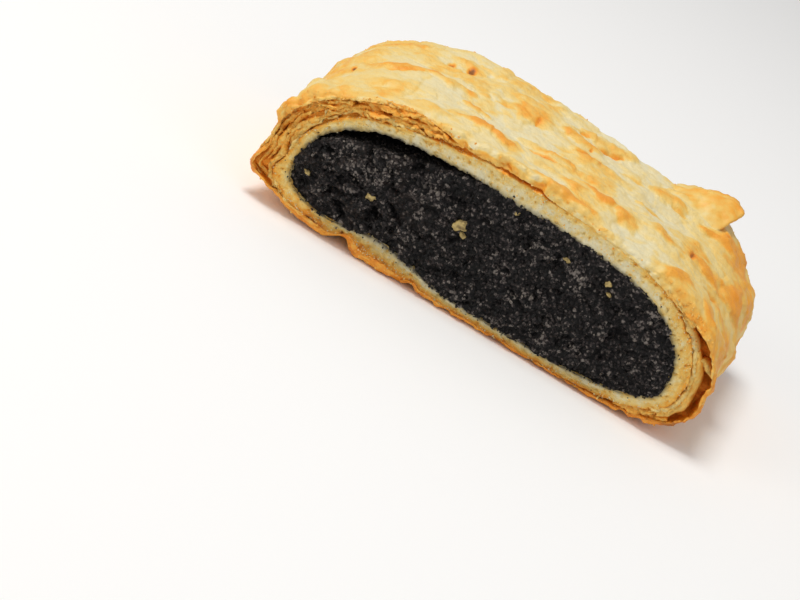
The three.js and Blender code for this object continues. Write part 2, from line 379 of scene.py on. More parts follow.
def paste_material():
    """Near black grains with painted shade in the gaps between them and in the paste's hollows, greyer where
    they are crushed and where a highlight is painted, moist with a dull shine.
    """
    material, tree, shader = new_material("ground poppy paste")
    feeds = {"Vector": object_place(tree), "Scale": 1 / (PASTE_SEED_SIZE * MM)}
    seeds = add_node(tree, "ShaderNodeTexVoronoi", feeds).outputs
    number = output_of(tree, "ShaderNodeSeparateColor", {"Color": seeds["Color"]}, "Red")
    # The paste is lighter where it is dusty with crushed seed, and this is partly a painted highlight.
    shade = calculated(tree, "MULTIPLY_ADD", point_number(tree, "dust"), 0.36, number)
    speck = calculated(tree, "MULTIPLY_ADD", grain_of(tree, 0.5)["Mottle"], 1.5, -0.78)
    shade = calculated(tree, "ADD", shade, speck)
    stops = [(0, "070605"), (0.4, "120f0f"), (0.66, "2f2929"), (0.86, "5c5350"), (1, "908780")]
    colour = colour_ramp(tree, shade, stops)
    colour = mixed_colour(tree, point_number(tree, "brownness"), colour, paint("35271f"))
    # Painted shade: the gaps between the seed cells and the paste's hollows are mixed towards near black.
    grain_gap_shade = {"Value": seeds["Distance"], "From Min": 0.45, "From Max": 0.75}
    for dark in (output_of(tree, "ShaderNodeMapRange", grain_gap_shade), point_number(tree, "hollow")):
        colour = mixed_colour(tree, dark, colour, paint("050405"))
    height = calculated(tree, "SUBTRACT", grain_of(tree, 0.45)["Height"], seeds["Distance"])
    finish_surface(tree, shader, colour, 0.45, height, 0.45)
    shader.inputs["Specular IOR Level"].default_value = POPPY_GLOSS
    return material


def poppy_paste():
    places = [front_cut + FACE_SINK + depth for depth in PASTE_DEPTHS]
    places += [back_cut - FACE_SINK - depth for depth in PASTE_DEPTHS[::-1]]
    down = np.linspace(0, 1, PASTE_ROWS + 1)[None, :, None]
    points, hollows, dusts, faces, rims = [], [], [], [], []
    count = 0
    for station, y in enumerate(places):
        upper, lower = paste_columns(y)
        side = {0: -1, len(places) - 1: 1}.get(station, 0)
        if side:
            sheet = upper[:, None] * (1 - down) + lower[:, None] * down
            index = count + np.arange(sheet.shape[0] * sheet.shape[1]).reshape(sheet.shape[:2])
            index[0], index[-1] = index[0, 0], index[-1, 0]
            flat = sheet.reshape(-1, 3)
            relief, hollow, dust = paste_relief(flat, side)
            flat[:, 1] += side * relief
            faces += grid_faces(index)
            rims.append(np.concatenate([index[:, 0], index[-2:0:-1, -1]]))
            points.append(flat)
            hollows.append(hollow)
            dusts.append(dust)
            count += len(flat)
        else:
            ring = np.concatenate([upper, lower[-2:0:-1]])
            rims.append(count + np.arange(len(ring)))
            points.append(ring)
            # The sides of the paste, seen where the dough roof stands off it, are painted fully in shade.
            hollows.append(np.full(len(ring), 1.0))
            dusts.append(np.zeros(len(ring)))
            count += len(ring)
    rings = np.stack(rims)
    faces += grid_faces(np.concatenate([rings, rings[:, :1]], axis=1))
    points = np.concatenate(points)
    brown = rise(-points[:, 0], 4, 30) * rise(soft_noise(points, 4, 17), -0.3, 0.5)
    return made_piece(
        "poppy_paste", points, faces, paste_material(),
        dust=np.concatenate(dusts), hollow=0.9 * np.concatenate(hollows), brownness=0.5 * brown,
    )


paste = poppy_paste()
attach(paste, "root")
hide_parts("poppy_filling")


# ---------------------------------------------------------------- loose poppy grains
# Crushed and whole poppy seeds, up to about a millimetre long, stuck all over both cut faces.
# They are scattered over the paste and pressed in to about half their height.


def new_node_tree(name, inputs):
    """A Geometry Nodes tree with a geometry input and output and further named inputs."""
    inputs = {"Geometry": "Geometry", **inputs}
    tree, given = new_group(name, "GeometryNodeTree", inputs, {"Geometry": "Geometry"})
    tree.is_modifier = True
    return tree, given


def reworked(tree, geometry, kind, feeds=None, **settings):
    """A geometry after one more node, whose kind is given without its prefix."""
    return output_of(tree, "GeometryNode" + kind, {"Geometry": geometry, **(feeds or {})}, **settings)


def numbered(tree, geometry, title, value, domain="POINT"):
    """A geometry that carries a number under a name."""
    feeds = {"Name": title, "Value": value}
    return reworked(tree, geometry, "StoreNamedAttribute", feeds, data_type="FLOAT", domain=domain)


def close_tree(tree, geometry, material, smooth):
    """Ends a tree: instances made real, smooth or faceted shading, the material, and the output."""
    geometry = reworked(tree, geometry, "RealizeInstances")
    geometry = reworked(tree, geometry, "SetShadeSmooth", {"Shade Smooth": smooth})
    geometry = reworked(tree, geometry, "SetMaterial", {"Material": material})
    add_node(tree, "NodeGroupOutput", {"Geometry": geometry})


def grown_piece(name, seed_mesh, tree, values):
    """Runs a tree on a mesh and keeps the result as a plain mesh piece."""
    carrier = new_object(name, seed_mesh)
    growth = carrier.modifiers.new("growth", "NODES")
    growth.node_group = tree
    sockets = {s.name: s.identifier for s in tree.interface.items_tree if s.in_out == "INPUT"}
    for title, value in values.items():
        growth[sockets[title]] = value
    graph = bpy.context.evaluated_depsgraph_get()
    grown = bpy.data.meshes.new_from_object(carrier.evaluated_get(graph))
    carrier.modifiers.remove(growth)
    carrier.data = grown
    grown.name = name
    return carrier


def named_number(tree, title):
    """A number that the geometry carries, as a tree reads it."""
    return output_of(tree, "GeometryNodeInputNamedAttribute", {"Name": title}, data_type="FLOAT")


def own_place(tree):
    return output_of(tree, "GeometryNodeInputPosition")


def crumpled(tree, geometry, place, size, amount):
    """Moves a surface by noise of that lump size, by at most about half of the amount."""
    feeds = {"Vector": place, "Scale": 1 / (size * MM), "Detail": 2.0}
    fold = output_of(tree, "ShaderNodeTexNoise", feeds, 1)
    fold = output_of(tree, "ShaderNodeVectorMath", {0: fold, 1: (-0.5, -0.5, -0.5)}, operation="ADD")
    fold = output_of(tree, "ShaderNodeVectorMath", {0: fold, "Scale": amount}, operation="SCALE")
    return reworked(tree, geometry, "SetPosition", {"Offset": fold})


LUMP_WIDTHS = (1.2, 0.8)  # across both ways, for a lump of size 1
LUMP_DENTS = (600, 1.1)  # size, for a lump of a metre, and depth
SMALLEST_LUMP, LARGEST_LUMP = 0.45, 1.2


def scatter_tree(name, shade_title):
    """Scatters small squashed lumps where the surface's "littered" number allows them."""
    numbers = ("Lump Size", "Lumps Per Area", "Flatness", "Darkest", "Lightest", "Dust And Highlight Gain")
    inputs = {**dict.fromkeys(numbers, "Float"), "Seed": "Int", "Material": "Material"}
    tree, given = new_node_tree(name, inputs)
    density = calculated(tree, "MULTIPLY", given["Lumps Per Area"], named_number(tree, "littered"))
    feeds = {"Mesh": given["Geometry"], "Density": density, "Seed": given["Seed"]}
    points = output_of(tree, "GeometryNodeDistributePointsOnFaces", feeds, "Points")
    lump = output_of(tree, "GeometryNodeMeshIcoSphere", {"Radius": 0.5, "Subdivisions": 1}, "Mesh")
    lump = crumpled(tree, lump, own_place(tree), *LUMP_DENTS)
    squash = {"X": LUMP_WIDTHS[0], "Y": LUMP_WIDTHS[1], "Z": given["Flatness"]}
    lump = reworked(tree, lump, "Transform", {"Scale": output_of(tree, "ShaderNodeCombineXYZ", squash)})
    any_turn = {"Min": (0, 0, 0), "Max": (TAU, TAU, TAU), "Seed": given["Seed"]}
    turn = output_of(tree, "FunctionNodeRandomValue", any_turn, data_type="FLOAT_VECTOR")
    any_size = {"Min": SMALLEST_LUMP, "Max": LARGEST_LUMP, "Seed": given["Seed"]}
    size = output_of(tree, "FunctionNodeRandomValue", any_size, 1, data_type="FLOAT")
    size = calculated(tree, "MULTIPLY", size, given["Lump Size"])
    feeds = {"Points": points, "Instance": lump, "Rotation": turn, "Scale": size}
    placed = output_of(tree, "GeometryNodeInstanceOnPoints", feeds)
    any_shade = {"Min": given["Darkest"], "Max": given["Lightest"], "Seed": 7}
    shade = output_of(tree, "FunctionNodeRandomValue", any_shade, 1, data_type="FLOAT")
    # Grains on dusty paste are lighter: crushed seed and painted highlight.
    shade = calculated(tree, "MULTIPLY_ADD", given["Dust And Highlight Gain"], named_number(tree, "dust"), shade)
    close_tree(tree, numbered(tree, placed, shade_title, shade, "INSTANCE"), given["Material"], False)
    return tree


def littered_copy(piece, amounts):
    """A copy of a piece's mesh that says how thickly each point of it is littered."""
    mesh = piece.data.copy()
    add_numbers(mesh, {"littered": amounts})
    return mesh


def mesh_points(piece):
    """A piece's points in millimetres."""
    spots = np.empty(len(piece.data.vertices) * 3)
    piece.data.vertices.foreach_get("co", spots)
    return spots.reshape(-1, 3) / MM


def near_cuts(points, reach):
    """1 at and outside either cut, 0 deeper inside than the reach."""
    inside = np.minimum(points[:, 1] - front_cut, back_cut - points[:, 1])
    return (inside < reach).astype(float)


def grain_material():
    """Slate to brown-black seed skins, a few of them grey, with a faint gloss."""
    material, tree, shader = new_material("poppy grain")
    speck = grain_of(tree, 0.35)
    swing = calculated(tree, "MULTIPLY_ADD", speck["Mottle"], 1.3, -0.68)
    shade = calculated(tree, "ADD", point_number(tree, "grain_shade"), swing)
    stops = [
        (0, "0b0a09"), (0.4, "171514"), (0.66, "2a2524"), (0.84, "453e3c"), (0.95, "69615c"), (1, "948b81"),
    ]
    finish_surface(tree, shader, colour_ramp(tree, shade, stops), 0.42, speck["Height"], 0.12)
    shader.inputs["Specular IOR Level"].default_value = POPPY_GLOSS
    return material


grain_look = grain_material()
grain_tree = scatter_tree("scatter poppy grains", "grain_shade")
on_faces = near_cuts(mesh_points(paste), 1.6)
grains = grown_piece("poppy_grains", littered_copy(paste, on_faces), grain_tree, {
    "Lump Size": 0.8 * MM, "Lumps Per Area": 1.45 / MM**2, "Flatness": 0.7, "Seed": 4,
    "Darkest": 0.0, "Lightest": 0.8, "Dust And Highlight Gain": 0.3, "Material": grain_look,
})
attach(grains, "root")


# ---------------------------------------------------------------- nut crumbs
# Chopped nuts and a little lemon peel stirred into the filling. The knife has cut through some
# of them, so they show as small pale lumps set in both cut faces.

FRONT_NUTS = [  # x, z and width of each, seen in the front cut
    (-8.4, 19.0, 3.3), (-7.2, 17.3, 1.6), (-27.7, 14.1, 2.2), (-42.2, 11.6, 1.4), (0.5, 27.4, 1.2),
    (14, 24.2, 1.1), (23.6, 24.2, 1.3), (24.8, 22.3, 1.0),
]
BACK_NUTS = 9
NUT_RAGGED = [(0.55, 2.6), (0.25, 2.8)]  # depth and closeness of a nut's coarse and fine dents


def nut_material():
    """Pale yellow to tan, darker where the seed paste has stained it."""
    material, tree, shader = new_material("chopped nut")
    grain = grain_of(tree, 0.9)
    stops = [(0.25, "5b4b30"), (0.42, "96804d"), (0.58, "bda566"), (0.75, "cfba80")]
    finish_surface(tree, shader, colour_ramp(tree, grain["Mottle"], stops), 0.6, grain["Height"], 0.2)
    return material


def nut_crumbs():
    dice = np.random.default_rng(21)
    shape = bmesh.new()
    places = [(x, z, width, -1) for x, z, width in FRONT_NUTS]
    for _ in range(BACK_NUTS):
        places.append((dice.uniform(-38, 38), dice.uniform(8, 25), dice.uniform(1, 2.8), 1))
    (coarse, coarse_step), (fine, fine_step) = NUT_RAGGED
    for x, z, width, side in places:
        lump = bmesh.ops.create_icosphere(shape, subdivisions=3, radius=width / 2)["verts"]
        squash = Vector((dice.uniform(0.85, 1.3), 0.75, dice.uniform(0.6, 0.95)))
        lean = Matrix.Rotation(dice.uniform(-1, 1), 3, "Y")
        cut = front_cut if side < 0 else back_cut
        centre = Vector((x + middle_x, cut - side * 0.1, z))
        for vert in lump:
            jag = 1 + coarse * noise.noise(vert.co * (coarse_step / width) + centre)
            jag += fine * noise.noise(vert.co * fine_step + centre)
            vert.co = centre + lean @ (vert.co * jag * squash)
    bmesh.ops.scale(shape, vec=(MM, MM, MM), verts=shape.verts)
    mesh = bpy.data.meshes.new("nut_crumbs")
    shape.to_mesh(mesh)
    shape.free()
    mesh.shade_smooth()
    mesh.materials.append(nut_material())
    return new_object("nut_crumbs", mesh)


nuts = nut_crumbs()
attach(nuts, "root")


# ---------------------------------------------------------------- the dense band of dough
# The innermost turns of the dough sheet, soaked by the filling and pressed into one pale band.
# Outside it runs a seam, which opens into a trench where the outer turns have baked apart.

# Every ring of dough has its points at these parts of the way round: close together over the
# sides and the top, and further apart under the base.
ROUND_START, BASE_START, BASE_END = -0.08, 0.57, 0.92
ROUND = np.concatenate([
    np.linspace(ROUND_START, BASE_START, 500, endpoint=False),
    np.linspace(BASE_START, BASE_END, 150, endpoint=False),
])
AROUND = len(ROUND)
ROUND_LENGTH = 250  # length of the way round the crust
BAND_ROWS = 16
FRONT_DOUGH = [  # part of the way round, share where the band ends, where the crust starts, depth
    (0, 0.41, 0.96, 4), (0.03, 0.45, 0.97, 4), (0.045, 0.46, 0.92, 4.5), (0.06, 0.46, 0.87, 4.5),
    (0.072, 0.47, 0.80, 3), (0.085, 0.52, 0.66, 1.1), (0.10, 0.58, 0.63, 0.4), (0.14, 0.64, 0.67, 0.15),
    (0.17, 0.68, 0.71, 0.15), (0.20, 0.70, 0.73, 0.15), (0.225, 0.61, 0.65, 0.3), (0.25, 0.575, 0.70, 2.4),
    (0.275, 0.585, 0.72, 2.4), (0.292, 0.60, 0.66, 0.8), (0.31, 0.57, 0.68, 0.8), (0.335, 0.50, 0.82, 1.1),
    (0.36, 0.42, 0.93, 1.5), (0.40, 0.36, 0.90, 1.9), (0.44, 0.32, 0.84, 2.2), (0.47, 0.25, 0.90, 2.4),
    (0.50, 0.26, 0.94, 2.4), (0.53, 0.36, 0.95, 2.2), (0.55, 0.54, 0.9, 1.4), (0.57, 0.60, 0.68, 0.5),
    (0.60, 0.60, 0.63, 0.15), (0.70, 0.60, 0.63, 0.15), (0.80, 0.60, 0.63, 0.15), (0.88, 0.60, 0.65, 0.4),
    (0.92, 0.56, 0.74, 1.6), (0.95, 0.48, 0.86, 3.5), (0.98, 0.42, 0.95, 4), (1, 0.41, 0.96, 4),
]
BACK_DOUGH = [
    (0, 0.44, 0.90, 4), (0.06, 0.42, 0.88, 4), (0.10, 0.50, 0.74, 2), (0.14, 0.60, 0.65, 0.8),
    (0.22, 0.66, 0.70, 0.8), (0.28, 0.58, 0.66, 1.5), (0.34, 0.62, 0.67, 1), (0.40, 0.52, 0.74, 2),
    (0.45, 0.42, 0.88, 5), (0.50, 0.40, 0.92, 6), (0.54, 0.44, 0.9, 5), (0.58, 0.58, 0.68, 1),
    (0.66, 0.62, 0.66, 0.6), (0.84, 0.60, 0.64, 0.6), (0.92, 0.56, 0.74, 2), (0.96, 0.5, 0.86, 3.5),
    (1, 0.44, 0.90, 4),
]
CRUST_HALF_WIDTH, CRUST_WAIST, CRUST_CROWN, CRUST_BELLY = 52.5, 12, 23.5, 12.8
CROWN_SLOPE = 0.045  # the top falls this much towards the right
CRUST_POWERS = (3, 2.6, 3.4)  # how square its sides, its top and its base are
FURROWS = [(2.8, -29.5, 2.6), (1.9, -12, 2.2)]  # height, x and reach of each under the base
SLOW_WAVES = [  # height, crests round the roll, twist along it and phase of each
    (0.33, 3, 0.11, 0), (0.28, 5, -0.19, 1), (0.22, 8, 0.27, 2),
]
TORN_TIP = (2.2, 0.538, 0.011, 7)  # height, part of the way round, and reach round and along it
SWELLS = [  # height, part of the way round, reach, and where behind the front cut each starts and is full
    (1.5, 0.475, 0.05, 8, 40), (0.7, 0.085, 0.02, 30, 50),
]
DEEP_SHARE = 0.78  # deep inside, the layers under the crust end at this share
BACK_SWELL = 0.028  # at the back cut the roll is wider by this part,
BACK_LEAN = 0.016  # and its top falls this much more towards the right
SOAKED_DEPTHS = (20, 8, 3, 1.2, 0.4)  # where the band has points along the wall, behind the cut
TRENCH_STEPS = (0.2, 0.55, 1)  # and down the near side of the trench, in parts of its depth
TRENCH_FLOOR = (0.3, 0.55, 0.8, 1)  # and across the trench's floor
DEEP_ENDS = (9, 20)  # and under the crust, behind the cut
BAND_FRAY = [(0.3, 0.75, 36), (0.25, 1.7, 34), (0.35, 4, 37)]  # height, size and seed of each layer


def crust_section(turn):
    """The outside of the roll, with the two furrows where the sheet was tucked under."""
    sizes = (CRUST_HALF_WIDTH, CRUST_WAIST, CRUST_CROWN, CRUST_BELLY, CROWN_SLOPE)
    return oval(turn, *sizes, CRUST_POWERS, FURROWS)


def evenly_round(section):
    """The section as a function of the part of its length that is behind each point."""
    turns = np.linspace(0, 1, 20001)
    x, z = section(turns)
    length = np.concatenate([[0], np.cumsum(np.hypot(np.diff(x), np.diff(z)))])
    length /= length[-1]
    return lambda part: np.stack([np.interp(part % 1, length, x), np.interp(part % 1, length, z)], axis=-1)


wall_round = evenly_round(wall_section)
crust_round = evenly_round(crust_section)


def wall_at(part, y):
    x, z = np.moveaxis(wall_round(part), -1, 0)
    return np.stack([x + middle_x, y + 0 * x, z], axis=-1)


def crust_at(part, y):
    """The outside of the roll at parts of the way round and places along it, before its blisters."""
    flat = crust_round(part)
    ahead, behind = crust_round(part + 0.004), crust_round(part - 0.004)
    out = np.stack([ahead[..., 1] - behind[..., 1], behind[..., 0] - ahead[..., 0]], axis=-1)
    out /= np.linalg.norm(out, axis=-1, keepdims=True)
    from_front = y - front_cut
    waves = sum(
        height * np.sin(crests * TAU * part + twist * (from_front - CUT_LENGTH / 2) + phase)
        for height, crests, twist, phase in SLOW_WAVES
    )
    tip_height, tip_middle, tip_reach, tip_length = TORN_TIP
    torn_tip = tip_height * bell(part - tip_middle, tip_reach) * bell(from_front, tip_length)
    swell = sum(
        height * bell(part - middle, reach) * rise(from_front, start, full)
        for height, middle, reach, start, full in SWELLS
    )
    flat = flat + out * (waves * rise(flat[..., 1], 0, 8) + torn_tip + swell)[..., None]
    backness = from_front / CUT_LENGTH
    lean = BACK_LEAN * backness * flat[..., 0] * rise(flat[..., 1], 6, 22)
    x = flat[..., 0] * (1 + BACK_SWELL * backness) + middle_x
    z = flat[..., 1] - lean
    return np.stack([x, y + 0 * x, np.maximum(z, 0)], axis=-1)


def in_dough(part, y, share):
    """A point of the dough: share 0 is the wall of the filling and share 1 the outside."""
    share = np.asarray(share)[..., None]
    return wall_at(part, y) * (1 - share) + crust_at(part, y) * share


def outward(part):
    """The direction straight out of the dough, in the plane of the cut."""
    straight = crust_at(part, front_cut + 0 * part) - wall_at(part, front_cut + 0 * part)
    return straight / np.linalg.norm(straight, axis=-1, keepdims=True)


def round_line(part, side, seed):
    """Points along one of the cuts, for noise that runs round the roll."""
    return np.stack([part * ROUND_LENGTH, 0 * part, 0 * part + 7 * side + seed], axis=-1)


def dough_table(side, part):
    """Where the band ends and the crust starts, and how deep it is between them."""
    places, ends, starts, depths = np.array(FRONT_DOUGH if side < 0 else BACK_DOUGH).T
    part = part % 1
    line = round_line(part, side, 1)
    under = 1 + rise(part, 0.57, 0.62) * (1 - rise(part, 0.88, 0.92))
    ripple = under * rough(line, (0.025, 6, 31), (0.025, 2.3, 29), (0.02, 1.1, 28))
    depth = np.interp(part, places, depths) * (1 + 0.7 * soft_noise(line, 4, 27))
    return np.interp(part, places, ends) + ripple, np.interp(part, places, starts) + ripple, depth


def baked_dough_group():
    """The colour of baked dough from raw cream through gold and orange to dark brown."""
    inputs = dict.fromkeys(("Toast", "Mottle", "Amount"), "Float")
    group, given = new_group("baked dough", "ShaderNodeTree", inputs, {"Color": "Color"})
    swing = calculated(group, "ADD", given["Mottle"], -0.5)
    toast = calculated(group, "MULTIPLY_ADD", swing, given["Amount"], given["Toast"])
    stops = [
        (0, "e7dcb4"), (0.16, "ecd188"), (0.3, "efc261"), (0.45, "f1ac3c"), (0.6, "ee9822"),
        (0.75, "d67c12"), (0.88, "8f5616"), (1, "46290c"),
    ]
    add_node(group, "NodeGroupOutput", {"Color": colour_ramp(group, toast, stops)})
    return group


baked_dough = baked_dough_group()


def dough_material(name, mottle_size, mottle_amount, roughness, bump_depth):
    """Baked dough, coloured by each piece's own toast numbers and darkened by its stain and shade numbers,
    which hold real stains and painted shade.
    """
    material, tree, shader = new_material(name)
    grain = grain_of(tree, mottle_size, 4.0)
    feeds = {"Toast": point_number(tree, "toast"), "Mottle": grain["Mottle"], "Amount": mottle_amount}
    tone = output_of(tree, "ShaderNodeGroup", feeds, node_tree=baked_dough)
    # Stains, and painted shade where a piece has it, are mixed towards this dark brown.
    colour = mixed_colour(tree, point_number(tree, "stain"), tone, paint("221812"))
    finish_surface(tree, shader, colour, roughness, grain["Height"], bump_depth)
    return material


def closed_rings(name, rings, material, **numbers):
    """A closed piece from rings of points, the last of which joins the first."""
    rows = len(rings)
    index = np.arange(rows * AROUND).reshape(rows, AROUND)
    index = np.concatenate([index, index[:, :1]], axis=1)
    index = np.concatenate([index, index[:1]], axis=0)
    joined = {title: np.concatenate(values) for title, values in numbers.items()}
    return made_piece(name, np.concatenate(rings), grid_faces(index), material, **joined)


def open_crumb(points, side, seed):
    """How far a cut face of dough stands out, with the lumps and holes of its torn crumb."""
    flat = face_noise_points(points, side)
    distance, number = grain_field(flat, 1.3, seed)
    small, _ = grain_field(flat, 0.75, seed + 1)
    lump = 0.42 * (0.3 + number) * (0.42 - distance**2) + 0.24 * (0.42 - small**2)
    pore = rise(soft_noise(flat, 0.8, seed + 9), 0.25, 0.6) * rise(soft_noise(flat, 2.2, seed + 8), -0.2, 0.3)
    return lump + 0.16 * soft_noise(flat, 2.6, seed + 2) - 0.4 * pore


def band_rows(side):
    """Rows of (share, depth, toast, on the face) from inside the wall, over the cut, to the outside."""
    end, start, depth = dough_table(side, ROUND)
    still = 0 * ROUND
    rows = [(still, still + d, 0.3, 0) for d in SOAKED_DEPTHS]
    rows += [(end * u, still, 0.07 + 0.28 * u**3, 1) for u in np.linspace(0, 1, BAND_ROWS)]
    toast_by_depth = rise(depth, 0.3, 1.3) * (1 - 0.45 * bell(ROUND - 0.44, 0.1))
    for i, d in enumerate(TRENCH_STEPS):
        rows.append((end + 0.012 * (i + 1), depth * d, 0.32 + (0.18 + 0.06 * i) * toast_by_depth, 0))
    rows += [(end + (start + 0.03 - end) * u, depth, 0.34 + 0.32 * toast_by_depth, 0) for u in TRENCH_FLOOR]
    rows += [(np.minimum(start + 0.03, DEEP_SHARE), still + d, 0.6, 0) for d in DEEP_ENDS]
    return rows


def dough_band():
    rings, toasts, stains = [], [], []
    part = ROUND % 1
    under = rise(part, 0.57, 0.6) * (1 - rise(part, 0.9, 0.95))
    ends = bell(part - 0.5, 0.08) + bell((ROUND + 0.5) % 1 - 0.51, 0.07) + 1.2 * bell(part - 0.58, 0.035)
    for side, rows in ((-1, band_rows(-1)), (1, band_rows(1)[::-1])):
        cut = front_cut if side < 0 else back_cut
        for share, depth, toast, on_face in rows:
            ring = in_dough(ROUND, cut - side * depth, share)
            flat = face_noise_points(ring, side)
            crumb = open_crumb(ring, side, 32)
            streak = np.stack([ROUND * ROUND_LENGTH, share * 60, 0 * ROUND + side], axis=-1)
            layers = soft_noise(streak, (9, 4.2, 1), 35)
            near_wall = 1 - rise(share * 7, 0, 1.0)
            shallow = 1 - rise(depth, 0.5, 3)
            ring += outward(ROUND) * ((rough(flat, *BAND_FRAY) - 0.1) * near_wall * shallow)[:, None]
            ring[:, 1] += side * (crumb + 0.15 * layers) * (0.4 + 0.6 * on_face)
            blotch = 0.5 + 0.5 * soft_noise(flat, 0.8, 38) + 0.3 * soft_noise(flat, 2.5, 39)
            smear_and_shade = (1 - rise(share * 7, -0.2, 1.5)) ** 2 * (0.6 + 0.8 * blotch)
            # Painted shade: under the base the band is darkened as if in shade, on top of the smeared paste.
            smear_and_shade = smear_and_shade + (0.16 + 0.34 * blotch) * under
            inside_wall = rise(depth, 0.3, 1.2) * (1 - rise(share, 0, 0.02))
            # Painted shade: the crumb is painted browner where it sinks in and paler where it stands out.
            toast = toast + 0.06 * layers + 0.12 * soft_noise(flat, 2.2, 40) - 0.45 * crumb
            rings.append(ring)
            # Under the base the band is also browner: partly baked brown, partly painted shade.
            toasts.append(toast + 0.16 * ends * on_face + 0.33 * under * rise(share, 0.1, 0.6))
            stains.append(np.maximum(0.9 * np.clip(smear_and_shade, 0, 1) * on_face, 0.95 * inside_wall))
    material = dough_material("dense dough", 1.2, 0.3, 0.75, 0.3)
    return closed_rings("dough_band", rings, material, toast=toasts, stain=stains)


band = dough_band()
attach(band, "root")
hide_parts("pastry_roll")


# ---------------------------------------------------------------- stray grains
# A few poppy seeds that the knife dragged out of the filling onto the dough beside it.


def wall_distance(points):
    """How far each point lies outside the wall of the filling, in the plane of the cut."""
    line = wall_at(np.linspace(0, 1, 400), front_cut)[:, [0, 2]]
    gaps = points[:, None, [0, 2]] - line[None]
    return np.sqrt((gaps**2).sum(axis=2).min(axis=1))


band_points = mesh_points(band)
dragged = near_cuts(band_points, 0.8) * (0.012 + bell(wall_distance(band_points), 0.8))
stray_grains = grown_piece("stray_grains", littered_copy(band, dragged), grain_tree, {
    "Lump Size": 0.45 * MM, "Lumps Per Area": 0.35 / MM**2, "Flatness": 0.7, "Seed": 9,
    "Darkest": 0.3, "Lightest": 0.9, "Dust And Highlight Gain": 0.0, "Material": grain_look,
})
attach(stray_grains, "root")


# ---------------------------------------------------------------- the open leaves
# The outer turns of the dough, baked apart into thin leaves with dark gaps between them. Each
# leaf follows the roll for a stretch, stands on the trench floor and frays where it was cut.

LEAF_STEP = 0.4  # spacing of the points along a leaf
FRONT_LEAVES = [  # part and share where a leaf starts, part and share where it ends, toast
    (0.36, 0.47, 0.475, 0.44, 0.46), (0.452, 0.36, 0.553, 0.49, 0.48), (0.35, 0.55, 0.43, 0.54, 0.56),
    (0.412, 0.52, 0.512, 0.50, 0.54), (0.50, 0.56, 0.557, 0.60, 0.54), (0.385, 0.62, 0.462, 0.66, 0.60),
    (0.44, 0.62, 0.53, 0.65, 0.58), (0.425, 0.74, 0.49, 0.76, 0.56), (0.475, 0.77, 0.555, 0.78, 0.60),
    (0.455, 0.86, 0.52, 0.90, 0.54), (0.51, 0.88, 0.552, 0.99, 0.56), (0.485, 0.97, 0.547, 1.03, 0.52),
    (0.33, 0.60, 0.39, 0.61, 0.60), (0.46, 0.32, 0.51, 0.32, 0.44), (0.37, 0.48, 0.41, 0.45, 0.62),
    (0.322, 0.68, 0.40, 0.72, 0.58), (0.335, 0.78, 0.42, 0.80, 0.60), (0.35, 0.90, 0.405, 0.90, 0.56),
    (0.965, 0.50, 1.085, 0.55, 0.40), (0.955, 0.56, 1.045, 0.59, 0.50), (0.965, 0.64, 1.03, 0.66, 0.5),
    (1.024, 0.95, 1.038, 0.66, 0.52), (0.93, 0.70, 0.968, 0.80, 0.62), (0.925, 0.60, 0.962, 0.66, 0.58),
    (1.070, 0.74, 1.092, 0.66, 0.55), (1.068, 0.66, 1.09, 0.61, 0.5), (0.545, 0.70, 0.58, 0.72, 0.5),
    (1.085, 0.66, 1.115, 0.69, 0.5), (1.09, 0.75, 1.108, 0.72, 0.45),
]
BACK_LEAF_COUNT = 22
STAIRS = 2.2  # how far a leaf at the outside ends behind one at the wall
CALM_END = 0.12  # leaves at the right end, up to this part of the way round, hardly crumple
LARGEST_REACH = 0.6  # the furthest that a leaf stands out of the cut
LEAF_SIDES = 12  # points round a leaf's section
LARGE_FOLDS, SMALL_FOLDS, TOOTH_STEP = 3.4, 1.2, 0.9


def back_leaves():
    """Leaves for the back cut, most of them where its trench is wide."""
    dice = np.random.default_rng(41)
    leaves = []
    for _ in range(BACK_LEAF_COUNT):
        middle = dice.choice([dice.normal(0.01, 0.03), dice.normal(0.49, 0.03), dice.normal(0.49, 0.03)])
        half = dice.uniform(0.02, 0.06)
        room, roof, _ = dough_table(1, np.array([middle]))
        low = dice.uniform(room[0] + 0.03, max(roof[0], room[0] + 0.1))
        high = low + dice.uniform(-0.06, 0.06)
        leaves.append((middle - half, low, middle + half, high, dice.uniform(0.35, 0.6)))
    return leaves


